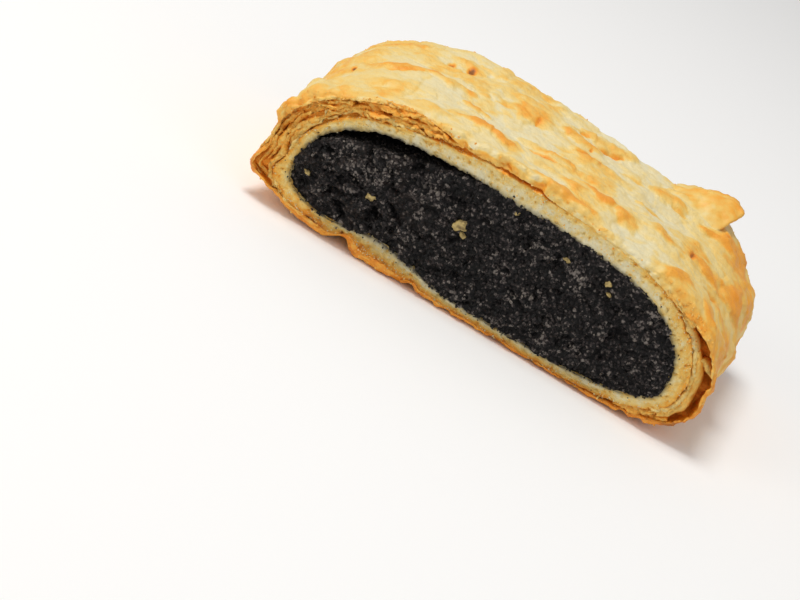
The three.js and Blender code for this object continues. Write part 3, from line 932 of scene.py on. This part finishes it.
def leaf_paths():
    """Every leaf's path as a line of edges, with its width, side and toast at each point."""
    points, edges, widths, sides, toasts, creasings = [], [], [], [], [], []
    count = 0
    plan = [(-1, leaf) for leaf in FRONT_LEAVES] + [(1, leaf) for leaf in back_leaves()]
    for number, (side, (start, low, end, high, toast)) in enumerate(plan):
        steps = max(10, int((end - start) * ROUND_LENGTH / LEAF_STEP))
        u = np.linspace(0, 1, steps)
        part = start + (end - start) * u
        sway = round_line(part, side, 9 * number)
        calm = 0.3 if start + 0.1 > 1 or end < CALM_END else 1.0
        sway_share = calm * rough(sway, (0.09, 8, 42), (0.06, 3, 43))
        share = np.minimum(low + (high - low) * u + sway_share, 1.06 if side < 0 else 0.8)
        cut = front_cut if side < 0 else back_cut
        _, _, depth = dough_table(side, part)
        width = np.clip(depth + 1, 1.8, 5) * (0.4 + 0.6 * np.sin(u * math.pi) ** 0.5)
        width = width * (1 - 0.5 * rise(share, 0.8, 0.95))
        reach = np.minimum(soft_noise(sway, 5, 44) - STAIRS * calm * (share - 0.5), LARGEST_REACH)
        line = in_dough(part, cut - side * (width / 2 - reach), share)
        line[:, 2] = np.maximum(line[:, 2], 0.35)
        points.append(line)
        edges += [(count + i, count + i + 1) for i in range(steps - 1)]
        widths.append(width)
        sides.append(np.full(steps, float(side)))
        toasts.append(toast - 0.11 + 0.1 * soft_noise(sway, 5, 45))
        creasings.append(np.full(steps, calm))
        count += steps
    mesh = bpy.data.meshes.new("leaf paths")
    mesh.from_pydata((np.concatenate(points) * MM).tolist(), edges, [])
    numbers = {"leaf_width": widths, "side": sides, "toast": toasts, "creasing": creasings}
    add_numbers(mesh, {title: np.concatenate(values) for title, values in numbers.items()})
    return mesh


def leaf_tree():
    """Sweeps a thin lens along each path, then frays and crumples the edge that was cut."""
    inputs = {**dict.fromkeys(("Thickness", "Fray", "Crumple"), "Float"), "Material": "Material"}
    tree, given = new_node_tree("sweep pastry leaves", inputs)
    lines = output_of(tree, "GeometryNodeMeshToCurve", {"Mesh": given["Geometry"]})
    along_cut = {"Curve": lines, "Normal": (0, 1, 0)}
    lines = output_of(tree, "GeometryNodeSetCurveNormal", along_cut, mode="FREE")
    circle = output_of(tree, "GeometryNodeCurvePrimitiveCircle", {"Resolution": LEAF_SIDES, "Radius": 1.0})
    spot_x = output_of(tree, "ShaderNodeSeparateXYZ", {"Vector": own_place(tree)}, "X")
    lens = numbered(tree, circle, "across", spot_x)
    half = calculated(tree, "DIVIDE", given["Thickness"], 2 * MM)
    flat = output_of(tree, "ShaderNodeCombineXYZ", {"X": 0.5, "Y": half, "Z": 1.0})
    lens = reworked(tree, lens, "Transform", {"Scale": flat})
    width = calculated(tree, "MULTIPLY", named_number(tree, "leaf_width"), MM)
    feeds = {"Curve": lines, "Profile Curve": lens, "Scale": width, "Fill Caps": True}
    leaves = output_of(tree, "GeometryNodeCurveToMesh", feeds)
    side = named_number(tree, "side")
    outer = calculated(tree, "MULTIPLY", named_number(tree, "across"), side)
    cut_edge = output_of(tree, "ShaderNodeMapRange", {"Value": outer, "From Min": -0.5, "From Max": 1.0})
    place = own_place(tree)
    feeds = {"Vector": place, "Scale": TOOTH_STEP / MM, "Detail": 2.0}
    tooth = calculated(tree, "SUBTRACT", output_of(tree, "ShaderNodeTexNoise", feeds), 0.52)
    for factor in (given["Fray"], cut_edge, side):
        tooth = calculated(tree, "MULTIPLY", tooth, factor)
    fray = output_of(tree, "ShaderNodeCombineXYZ", {"Y": tooth})
    leaves = reworked(tree, leaves, "SetPosition", {"Offset": fray})
    amount = calculated(tree, "MULTIPLY", given["Crumple"], named_number(tree, "creasing"))
    for fold_size, part in ((LARGE_FOLDS, cut_edge), (SMALL_FOLDS, 0.45)):
        leaves = crumpled(tree, leaves, place, fold_size, calculated(tree, "MULTIPLY", amount, part))
    # Painted shade: each leaf is painted browner the further it lies behind the cut, deep in the gaps between
    # the leaves.
    shade_behind_cut = calculated(tree, "MULTIPLY", calculated(tree, "SUBTRACT", cut_edge, 0.75), -0.34)
    toast_by_depth = calculated(tree, "ADD", named_number(tree, "toast"), shade_behind_cut)
    close_tree(tree, numbered(tree, leaves, "toast", toast_by_depth), given["Material"], True)
    return tree


leaves = grown_piece("pastry_leaves", leaf_paths(), leaf_tree(), {
    "Thickness": 0.42 * MM, "Fray": 3.4 * MM, "Crumple": 2.8 * MM,
    "Material": dough_material("papery leaf", 1.1, 0.45, 0.55, 0.25),
})
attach(leaves, "root")


# ---------------------------------------------------------------- the crust
# The outermost turn of the dough, brushed with egg and baked crisp. Steam has raised it in
# blisters that browned on top, the skin has creased and split into low steps, and at the cuts
# it shows a porous, toasted rim.

BLISTERS = [  # x, y from the front cut, length along the cut, width, lean, height, toast
    (-36, 25, 15, 5, 0.3, 0.6, 0.30), (-27, 26, 12, 4, -0.15, 0.6, 0.28),
    (-20, 19.4, 8, 3.4, -0.15, 0.5, 0.34), (-14.5, 10, 11, 4.4, 0.08, 0.6, 0.38),
    (-20.8, 30.4, 4.5, 3.4, 0, 0.3, 0.26), (-26, 43.6, 9, 6, 0, 0.4, 0.2),
    (-2.5, 19, 12, 5.4, 0.1, 0.75, 0.26), (13.4, 12.4, 8.5, 4.4, -0.4, 0.5, 0.42),
    (7, 2.4, 15, 4.4, 0, 0.3, 0.22),
    (19.7, 9.6, 5, 6, 0.1, 0.35, 0.26), (28.5, 17, 9, 6, 0.1, 0.4, 0.24), (25, 39.4, 10, 5, 0.1, 0.55, 0.30),
    (36.5, 40, 9, 5, 0.1, 0.45, 0.30), (6, 45, 17, 6, 0.35, 0.8, 0.28), (-10, 33, 11, 8, 0.2, 0.35, 0.12),
    (22.6, 25.6, 7, 4, 0.1, 0.35, 0.2), (8, 30, 15, 5, 0.3, 0.5, 0.06), (-47, 30, 9, 12, 0, 0.4, 0.16),
    (-44, 43, 14, 8, 0.2, 0.4, 0.2), (-18, 47, 12, 5, 0.1, 0.3, 0.1), (41, 22, 8, 8, 0.3, 0.5, 0.16),
    (44, 6, 8, 7, 0.6, 0.6, 0.3), (-36, 12, 13, 5, 0.3, 0.4, 0.14), (47, 27, 7, 9, 0.3, 0.6, 0.2),
    (3, 37, 13, 4, 0.3, 0.7, 0.3),
    (-28, 5, 16, 5, 0, 0.3, 0.14), (34, 5, 9, 6, 0.2, 0.4, 0.22), (2, 10, 9, 4, 0, 0.3, 0.1),
]
CREASES = [  # x and y from the front cut of both ends, and depth
    (-5.1, 14.6, 0.8, 15, 0.95), (4.6, 40.2, 11.3, 44.8, 0.85), (0.8, 41.5, 2.6, 42.3, 0.5),
    (3, 28, 10, 32.1, 0.35), (-17.4, 29.5, -13.1, 31.1, 0.3), (-7.7, 29.8, -7.7, 33.2, 0.4),
    (21.3, 5, 25.7, 7.6, 0.2), (34.9, 18.5, 35.1, 22.4, 0.6), (-39.5, 20, -33, 24.8, 0.35),
    (22, 24, 24.6, 25, 0.4), (26, 37, 30, 38.4, 0.4), (-33, 34, -26, 37, 0.25),
    (13, 35, 19, 36.5, 0.3), (-2, 25.5, 3, 26.6, 0.25), (40, 12, 44, 16, 0.4),
]
CREASE_WIDTH = 0.55
BURNT_SPOTS = [(-30.8, 38.7, 1.1), (-26.4, 39.8, 1.3), (-46, 20, 0.7), (30, 46, 0.6), (5, 35, 0.5)]
RIM_BROWNS = [  # part of the way round, and how brown the cut rim is there
    (0, 0.46), (0.06, 0.42), (0.08, 0.5), (0.105, 0.32), (0.13, 0.16), (0.22, 0.2), (0.25, 0.42), (0.3, 0.34),
    (0.33, 0.4), (0.40, 0.38), (0.5, 0.38), (0.57, 0.44), (0.7, 0.56), (0.88, 0.5), (0.94, 0.62), (1, 0.46),
]
SHOULDER_FLAPS = [  # part of the way round, y from the front cut, reach of each, height
    (0.483, 1.2, 0.011, 2.6, 1.7), (0.463, 5.5, 0.016, 5, 1.3), (0.449, 2, 0.012, 3, 0.6),
]
WILD_BLISTERS = 90  # mostly on the sides, the base and the back, which are less even
WILD_CREASES = 26
MOST_TOAST = 0.5  # past this the crust browns much more slowly
SWELLING = [(0.45, 15, 52), (0.46, 7, 53), (0.3, 3.4, 54)]  # height, size and seed of each layer,
FINE_SKIN = [(0.16, 1.8, 57), (0.1, 1, 58)]  # and of the fine roughness of the skin
CUT_ROUND = 0.9  # radius to which the crust rounds over at a cut
ROUND_ROWS = 5
LENGTH_ROWS = 112
RIM_ROWS = 11
INSIDE_PARTS = (0.97, 0.85, 0.5, 0.15, 0.03)  # of the length, where the crust has inner points
INSIDE_TOAST = 0.66


def rim_toast(part):
    """How brown the cut rim of the crust is, at parts of the way round."""
    places, browns = np.array(RIM_BROWNS).T
    return np.interp(part % 1, places, browns)


def top_part(x):
    """The part of the way round at which the top of the crust has this x."""
    parts = np.linspace(0.02, 0.48, 2001)
    return np.interp(-x, -crust_round(parts)[:, 0], parts)


def blister_list():
    """The blisters as (part, y, length, width, lean, height, toast), the wild ones drawn at random."""
    dice = np.random.default_rng(51)
    placed = [(top_part(x), front_cut + y, *rest) for x, y, *rest in BLISTERS]
    for _ in range(WILD_BLISTERS):
        part = dice.choice([dice.uniform(0, 1), dice.uniform(0.93, 1.12), dice.uniform(0.42, 0.6)])
        size = dice.uniform(2.5, 9)
        placed.append((
            part % 1, front_cut + dice.uniform(0, CUT_LENGTH), size, size * dice.uniform(0.35, 0.8),
            dice.uniform(-0.5, 0.5), dice.uniform(0.12, 0.45), dice.uniform(0.0, 0.16),
        ))
    return placed


def crease_list():
    """The creases as lines on the unrolled crust, the wild ones drawn at random."""
    dice = np.random.default_rng(52)
    lines = [
        (top_part(x0) * ROUND_LENGTH, y0, top_part(x1) * ROUND_LENGTH, y1, depth)
        for x0, y0, x1, y1, depth in CREASES
    ]
    for _ in range(WILD_CREASES):
        start = dice.choice([dice.uniform(0.42, 0.95), dice.uniform(0.95, 1.12)]) % 1 * ROUND_LENGTH
        y, length = dice.uniform(2, 50), dice.uniform(2, 7)
        turn = dice.uniform(-0.9, 0.9)
        end = (start - length * math.cos(turn), y + length * math.sin(turn))
        lines.append((start, y, *end, dice.uniform(0.1, 0.35)))
    return lines


def ply_steps(sheet, stray):
    """Where the crust's torn upper plies lie, and how close each point is to their edges."""
    ply = soft_noise(sheet + 2.5 * stray, (13, 9, 13), 55)
    lower_ply = soft_noise(sheet - 2.5 * stray, (9, 7, 9), 56)
    steps = rise(ply, 0.12, 0.18) + 0.8 * rise(lower_ply, 0.25, 0.31)
    return steps, bell(ply - 0.13, 0.05) + 0.8 * bell(lower_ply - 0.26, 0.05)


def golden_toast(sheet, stray):
    """The soft patches of gold that the whole crust has, paler on its top."""
    golden = soft_noise(sheet + 1.5 * stray, 10, 59) + 0.45 * soft_noise(sheet, 3, 60)
    golden = golden + 0.25 * soft_noise(sheet, 1.4, 61) - 0.22 * rise(sheet[:, 2], 24, 32)
    toast = 0.04 + 0.15 * rise(golden, -0.3, 0.25)
    return toast + 0.12 * rise(golden, 0.2, 0.65) + 0.06 * rise(golden, 0.7, 1.0)


def crust_surface(part, y):
    """How far the crust stands out and how brown it is at each point."""
    sheet = crust_at(part, y)
    part = part % 1
    unrolled = part * ROUND_LENGTH
    raised = rough(sheet, *SWELLING)
    stray = wander(sheet, 5, 70)
    steps, torn_line = ply_steps(sheet, stray)
    toast = golden_toast(sheet, stray) + (0.05 * steps + 0.07 * torn_line + 0.04 * soft_noise(sheet, 1, 77))
    wobble = rough(sheet, (0.5, 3.4, 62), (0.35, 1.5, 63))
    for spot, along, length, width, lean, height, brown in blister_list():
        across = (unrolled - spot * ROUND_LENGTH + ROUND_LENGTH / 2) % ROUND_LENGTH - ROUND_LENGTH / 2
        across = across + 2.2 * stray[:, 0]
        over = y - along + 1.6 * stray[:, 1]
        far_x = (across * math.cos(lean) - over * math.sin(lean)) / (length / 2)
        far_y = (across * math.sin(lean) + over * math.cos(lean)) / (width / 2)
        inside = np.clip(1.1 - (far_x**2 + far_y**2) * (1 + wobble) + 0.3 * wobble, 0, 1)
        raised = raised + height * inside**0.7
        toast = toast + brown * (0.5 * rise(inside, 0, 0.25) + 0.5 * inside**1.5) * (0.9 + 0.5 * wobble)
    from_front = y - front_cut
    crease = crack_depth(
        unrolled + 0.6 * stray[:, 0], from_front + 0.8 * stray[:, 1], crease_list(), CREASE_WIDTH,
    )
    left = rise(-sheet[:, 0], 22, 50)
    right = rise(sheet[:, 0], 24, 50)
    low = 1 - rise(sheet[:, 2], 1.5, 12)
    raised += 0.45 * right * soft_noise(sheet, 5.5, 64) + 0.3 * left * soft_noise(sheet, 5, 65)
    toast += 0.08 * left + 0.19 * right + 0.34 * low + 0.07 * raised
    raised += 2.4 * (bell(sheet[:, 0] - 37, 7) * rise(from_front, 34, 49) * rise(sheet[:, 2], 8, 20))
    for middle, depth, reach, along_reach, height in SHOULDER_FLAPS:
        raised += height * rise(bell(part - middle, reach) * bell(from_front - depth, along_reach), 0.2, 0.7)
    # The toast is capped, then the creases are painted browner, as painted shade in them.
    toast = np.where(toast > MOST_TOAST, MOST_TOAST + 0.3 * (toast - MOST_TOAST), toast) + 0.6 * crease
    for x, along, radius in BURNT_SPOTS:
        off = np.hypot(unrolled - top_part(x) * ROUND_LENGTH, 0.6 * (from_front - along))
        burnt = 1 - rise(off, radius * 0.3, radius * 1.15)
        toast += 0.65 * burnt
        raised -= 0.3 * burnt
    off_base = rise(sheet[:, 2], 0.05, 3)
    raised = (raised - crease) * (0.25 + 0.75 * off_base) + 0.28 * steps * off_base
    raised = raised + rough(sheet, *FINE_SKIN)
    near_cut = np.minimum(from_front, back_cut - y)
    brown = rim_toast(part)
    rim_brown = np.clip(0.8 * brown - 0.25 + 0.3 * soft_noise(sheet, (5, 4, 5), 66), 0, 0.3)
    toast += (1 - rise(near_cut, 0.2, 3)) * rim_brown
    crumbly = (1 - rise(near_cut, 0.3, 2)) * (0.1 + 1.2 * brown)
    raised += crumbly * (rough(sheet, (0.3, 1.5, 79), (0.22, 0.9, 80)) - 0.1)
    return raised, toast


def ragged_edge(part, side):
    """How far inside the cut the crust's edge lies: small teeth, with some bites broken out."""
    line = round_line(part, side, 3)
    crisp = 0.35 + 1.2 * rim_toast(part)
    teeth = crisp * rough(line, (0.36, 2.4, 67), (0.28, 1.05, 68))
    bites = 0.9 * rise(soft_noise(line, 6, 69), 0.25, 0.5)
    if side < 0:
        loose = bell(part % 1 - 0.41, 0.08)
        bites = bites + 1.4 * bell(part % 1 - 0.37, 0.022) + loose * (0.3 + 0.9 * soft_noise(line, 3.4, 26))
    return 0.1 + teeth + bites


def crust_normals(part, y):
    """The direction straight out of the crust at each point."""
    round_way = crust_at(part + 0.003, y) - crust_at(part - 0.003, y)
    along_way = crust_at(part, y + 0.8) - crust_at(part, y - 0.8)
    out = np.cross(along_way, round_way)
    return out / np.linalg.norm(out, axis=-1, keepdims=True)


def crust_ring(y, from_edge):
    """One ring of the crust's outside. It is drawn in where it rounds over towards a cut."""
    raised, toast = crust_surface(ROUND, y)
    short = np.clip(CUT_ROUND - from_edge, 0, CUT_ROUND)
    drawn_in = CUT_ROUND - math.sqrt(CUT_ROUND**2 - short**2)
    ring = crust_at(ROUND, y) + crust_normals(ROUND, y) * (raised - drawn_in)[:, None]
    nibble = 0.45 + 0.6 * soft_noise(ring, (2.2, 4, 9), 85) + 0.45 * soft_noise(ring, (1, 3, 9), 86)
    ring[:, 2] = np.maximum(ring[:, 2], (1 - rise(from_edge, 0.4, 3)) * np.clip(nibble, 0, 1))
    return ring, toast


def crust_rim(edge_ring, edge_toast, inner_ring, side):
    """The crust's own cut face between its outer edge and its inner surface: porous and toasted, with painted
    shade in its pores.
    """
    brown = rim_toast(ROUND)
    rings, toasts = [], []
    for w in np.linspace(0, 1, RIM_ROWS + 1)[1:]:
        ring = edge_ring * (1 - w) + inner_ring * w
        flat = face_noise_points(ring, side)
        crumb = open_crumb(ring, side, 73)
        torn = math.sin(min(1, 1.6 * w) * math.pi / 2)
        ring[:, 1] += side * torn * (0.15 + (0.6 + brown) * crumb + 0.25 * soft_noise(flat, 3, 74))
        # Painted shade: the crumb is painted browner where it sinks in and paler where it stands out.
        toast = brown - 0.4 * crumb + (0.05 + 0.3 * brown) * soft_noise(flat, 2, 76)
        rings.append(ring)
        toasts.append(edge_toast * (1 - rise(w, 0, 0.3)) + toast * rise(w, 0, 0.3))
    return rings, toasts


def pastry_crust():
    round_off = CUT_ROUND * (1 - np.cos(np.linspace(0, math.pi / 2, ROUND_ROWS, endpoint=False)))
    from_front = np.concatenate([round_off, np.linspace(CUT_ROUND, CUT_LENGTH - CUT_ROUND, LENGTH_ROWS)])
    from_front = np.concatenate([from_front, CUT_LENGTH - round_off[::-1]])
    front_edge = front_cut + ragged_edge(ROUND, -1)
    back_edge = back_cut - ragged_edge(ROUND, 1)
    starts = {side: dough_table(side, ROUND)[1] for side in (-1, 1)}
    rings, toasts = [], []
    for distance in from_front:
        y = front_edge + (back_edge - front_edge) * distance / CUT_LENGTH
        ring, toast = crust_ring(y, min(distance, CUT_LENGTH - distance))
        rings.append(ring)
        toasts.append(toast)
    back_inner = in_dough(ROUND, back_edge, starts[1])
    back_rim, back_toast = crust_rim(rings[-1], toasts[-1], back_inner, 1)
    front_inner = in_dough(ROUND, front_edge, starts[-1])
    front_rim, front_toast = crust_rim(rings[0], toasts[0], front_inner, -1)
    inside = []
    for u in INSIDE_PARTS:
        y = front_edge + (back_edge - front_edge) * u
        share = starts[-1] * (1 - u) + starts[1] * u
        inner = in_dough(ROUND, y, np.minimum(share, DEEP_SHARE) if 0.1 < u < 0.9 else share)
        inner[:, 2] = np.maximum(inner[:, 2], 0.25)
        inside.append(inner)
    brown_inside = [np.full(AROUND, INSIDE_TOAST)] * len(inside)
    rings = rings + back_rim + inside + front_rim[::-1]
    toasts = toasts + back_toast + brown_inside + front_toast[::-1]
    material = dough_material("egg-washed crust", 1.6, 0.15, 0.5, 0.22)
    return closed_rings("pastry_crust", rings, material, toast=toasts)


crust = pastry_crust()
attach(crust, "root")
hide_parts("pastry_roll")


# ---------------------------------------------------------------- the torn flake
# A long flake of the outermost ply at the back right, which tore half loose when the piece was
# cut. Its root is one with the crust and its free edge stands up.

TORN_HEIGHT = 4.2  # how far the flake's free edge stands up,
TIP_HEIGHT = 0.9  # and its tip more than that
TORN_FROM = 42  # from the front cut to the flake's root
TORN_REACH = 11.4  # from its root to its free edge
FLAKE_LEFT, FLAKE_RIGHT = 21.5, 36  # x of its sides at the root
FLAKE_COLUMNS, FLAKE_ROWS = 34, 26


def sheet_faces(columns, rows):
    """Faces of a thin closed sheet: its upper points, its lower points and the edge between."""
    upper = np.arange(columns * rows).reshape(columns, rows)
    lower = upper + columns * rows
    faces = grid_faces(upper) + grid_faces(lower[::-1])
    border = [*upper[:, 0], *upper[-1, 1:], *upper[-2::-1, -1], *upper[0, -2:0:-1]]
    for first, second in zip(border, border[1:] + border[:1]):
        faces.append([first, second, second + columns * rows, first + columns * rows])
    return faces


def torn_flake():
    """The long flake at the back right: its root lies on the crust and its free edge stands up."""
    u, v = np.meshgrid(np.linspace(0, 1, FLAKE_COLUMNS), np.linspace(0, 1, FLAKE_ROWS), indexing="ij")
    flat = np.stack([15 * u, 12 * v, 0 * u], axis=-1).reshape(-1, 3)
    ragged = soft_noise(flat, 3, 83).reshape(u.shape)
    fine = soft_noise(flat, 1.2, 84).reshape(u.shape)
    left_edge = FLAKE_LEFT + 2.5 * v
    right_edge = FLAKE_RIGHT + 4.4 * v + 0.7 * ragged + 0.3 * fine
    corner = rise(u, 0.7, 1) * rise(v, 0.7, 1)
    x = left_edge + (right_edge - left_edge) * u - 1.4 * corner
    y = front_cut + TORN_FROM + TORN_REACH * v * (1 + 0.06 * ragged) - 1.6 * u**4 * v - 0.8 * corner
    standing = np.sin(v * math.pi / 2) ** 1.6 * rise(u, -0.05, 0.75)
    parts, ys = top_part(x).ravel(), np.minimum(y, back_cut - 0.2).ravel()
    raised, crust_toast = crust_surface(parts, ys)
    free = rise(np.minimum(u * 2 + 0.25 * ragged, v * 1.4 + 0.15 * ragged), 0.02, 0.3).ravel()
    top = crust_at(parts, ys) + crust_normals(parts, ys) * (raised + 0.4 * free - 0.25)[:, None]
    top[:, 1] = y.ravel()
    held_up = TIP_HEIGHT * v * rise(u, 0.55, 1)
    top[:, 2] += (TORN_HEIGHT * standing + held_up + 0.55 * ragged * v + 0.2 * fine * v).ravel()
    thickness = (0.7 - 0.4 * v + 0.1 * fine).ravel()
    lower = top - np.array([0.3, -0.3, 1]) * thickness[:, None]
    toast = (0.28 + 0.2 * v * rise(u, 0.2, 0.8) + 0.16 * ragged + 0.1 * fine).ravel()
    toast = crust_toast * (1 - free) + toast * free
    # The underside gets 0.12 more toast than the top: painted shade under the flake.
    return made_piece(
        "torn_flake", np.concatenate([top, lower]), sheet_faces(FLAKE_COLUMNS, FLAKE_ROWS),
        dough_material("lifted ply", 1.6, 0.25, 0.5, 0.08), toast=np.concatenate([toast, toast + 0.12]),
    )


flake = torn_flake()
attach(flake, "root")


# ---------------------------------------------------------------- pastry crumbs
# Toasted crumbs along the rims of the crust and among the open leaves, where the knife broke
# the crisp dough. They cling to the cut and lie at random.


def crumb_amounts(piece, reach):
    """Crumbs lie on what faces the cuts, thickest at the top left shoulder and the right end."""
    points = mesh_points(piece)
    x, z = points[:, 0], points[:, 2]
    shoulder = bell(x + 32, 12) * rise(z, 12, 18) + 0.7 * bell(x + 48, 6) * rise(z, 3, 10)
    right_end = bell(x - 42, 6) * rise(z, 20, 24)
    facing = np.abs([vertex.normal.y for vertex in piece.data.vertices])
    amount = 0.12 + shoulder + 1.2 * right_end + 0.5 * (1 - rise(z, 1.5, 3))
    amount *= rise(facing, 0.3, 0.7) * rise(z, 0.6, 1.2)
    return near_cuts(points, reach) * rise(wall_distance(points), 2.2, 3.4) * amount


crumb_look = dough_material("toasted crumb", 0.7, 0.4, 0.65, 0.1)
crumb_tree = scatter_tree("scatter pastry crumbs", "toast")
band_amounts = near_cuts(band_points, 0.8) * (0.4 + 0.6 * rise(wall_distance(band_points), 0.5, 1.2))
for crumb_name, host, amounts, size, number, darkest, lightest, seed in (
    ("rim_crumbs", crust, crumb_amounts(crust, 1.2), 0.6, 1.4, 0.2, 0.55, 14),
    ("seam_crumbs", band, crumb_amounts(band, 3.2), 0.65, 1.2, 0.3, 0.6, 15),
    ("leaf_crumbs", leaves, crumb_amounts(leaves, 2.5), 0.55, 0.7, 0.3, 0.6, 16),
    ("band_crumbs", band, band_amounts, 0.42, 1.8, 0.0, 0.34, 17),
):
    crumbs = grown_piece(crumb_name, littered_copy(host, amounts), crumb_tree, {
        "Lump Size": size * MM, "Lumps Per Area": number / MM**2, "Flatness": 0.55, "Seed": seed,
        "Darkest": darkest, "Lightest": lightest, "Dust And Highlight Gain": 0.0, "Material": crumb_look,
    })
    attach(crumbs, "root")


# ---------------------------------------------------------------- table, light and camera
# A plain pale table under plain soft studio light. The key hangs above, a little to the left and
# in front, with a cool fill at the right and a weak warm one at the left. The camera looks at the
# front cut from above and is tilted on its side.

TABLE_SIZE = 3.0
LENS = 81.0
SENSOR = 36.0
IMAGE_WIDTH, IMAGE_HEIGHT = 800, 600
VIEW_AZIMUTH, VIEW_ELEVATION, VIEW_ROLL = 7.0, 25.0, 28.0
VIEW_DISTANCE = 370.8
AIM_PIXEL = (483, 270)  # where the middle of the front cut lies in the picture
AIM_HEIGHT = 12.9
LIGHT_AIM = Vector((0, 0, 0.015))
SOFT_BOXES = [  # name, place, size, watts, colour
    ("key", (-0.25, -0.07, 0.82), 0.3, 4.2, (1.0, 0.98, 0.95)),
    ("fill", (0.7, -0.5, 0.4), 0.8, 1.0, (0.97, 0.98, 1.0)),
    ("left fill", (-0.6, -0.45, 0.35), 0.4, 0.85, (1.0, 0.92, 0.8)),
]
STUDIO_LIGHT = 0.4


def table_top():
    mesh = bpy.data.meshes.new("table_top")
    half = TABLE_SIZE / 2
    corners = [(-half, -half, 0), (half, -half, 0), (half, half, 0), (-half, half, 0)]
    mesh.from_pydata(corners, [], [(0, 1, 2, 3)])
    material, _, shader = new_material("pale table")
    shader.inputs["Base Color"].default_value = (0.97, 0.97, 0.97, 1)
    shader.inputs["Roughness"].default_value = 0.8
    mesh.materials.append(material)
    new_object("table_top", mesh)


def soft_box(name, place, size, watts, colour):
    """A square soft light aimed at the middle of the piece."""
    light = bpy.data.lights.new(name, "AREA")
    light.size, light.energy, light.color = size, watts, colour
    lamp = new_object(name, light)
    lamp.location = place
    lamp.rotation_euler = (LIGHT_AIM - Vector(place)).to_track_quat("-Z", "Y").to_euler()


def view_camera():
    azimuth, elevation, roll = (math.radians(a) for a in (VIEW_AZIMUTH, VIEW_ELEVATION, VIEW_ROLL))
    flat = math.cos(elevation)
    back = Vector((math.sin(azimuth) * flat, -math.cos(azimuth) * flat, math.sin(elevation)))
    level = Vector((0, 0, 1)).cross(back).normalized()
    above = back.cross(level)
    right = level * math.cos(roll) + above * math.sin(roll)
    up = above * math.cos(roll) - level * math.sin(roll)
    focal = LENS / SENSOR * IMAGE_WIDTH
    aside = (AIM_PIXEL[0] - IMAGE_WIDTH / 2) / focal
    lift = -(AIM_PIXEL[1] - IMAGE_HEIGHT / 2) / focal
    aim = Vector((middle_x, front_cut, AIM_HEIGHT))
    place = (aim - VIEW_DISTANCE * (-back + aside * right + lift * up)) * MM
    data = bpy.data.cameras.new("view")
    data.lens, data.sensor_width = LENS, SENSOR
    camera = new_object("view", data)
    turned = Matrix((right, up, back)).transposed().to_4x4()
    camera.matrix_world = Matrix.Translation(place) @ turned
    bpy.context.scene.camera = camera


table_top()
for soft_light in SOFT_BOXES:
    soft_box(*soft_light)
world = bpy.data.worlds.new("studio")
world.use_nodes = True
surround = world.node_tree.nodes["Background"].inputs
surround["Color"].default_value = (1, 1, 1, 1)
surround["Strength"].default_value = STUDIO_LIGHT
bpy.context.scene.world = world
bpy.context.scene.view_settings.view_transform = "Standard"
view_camera()
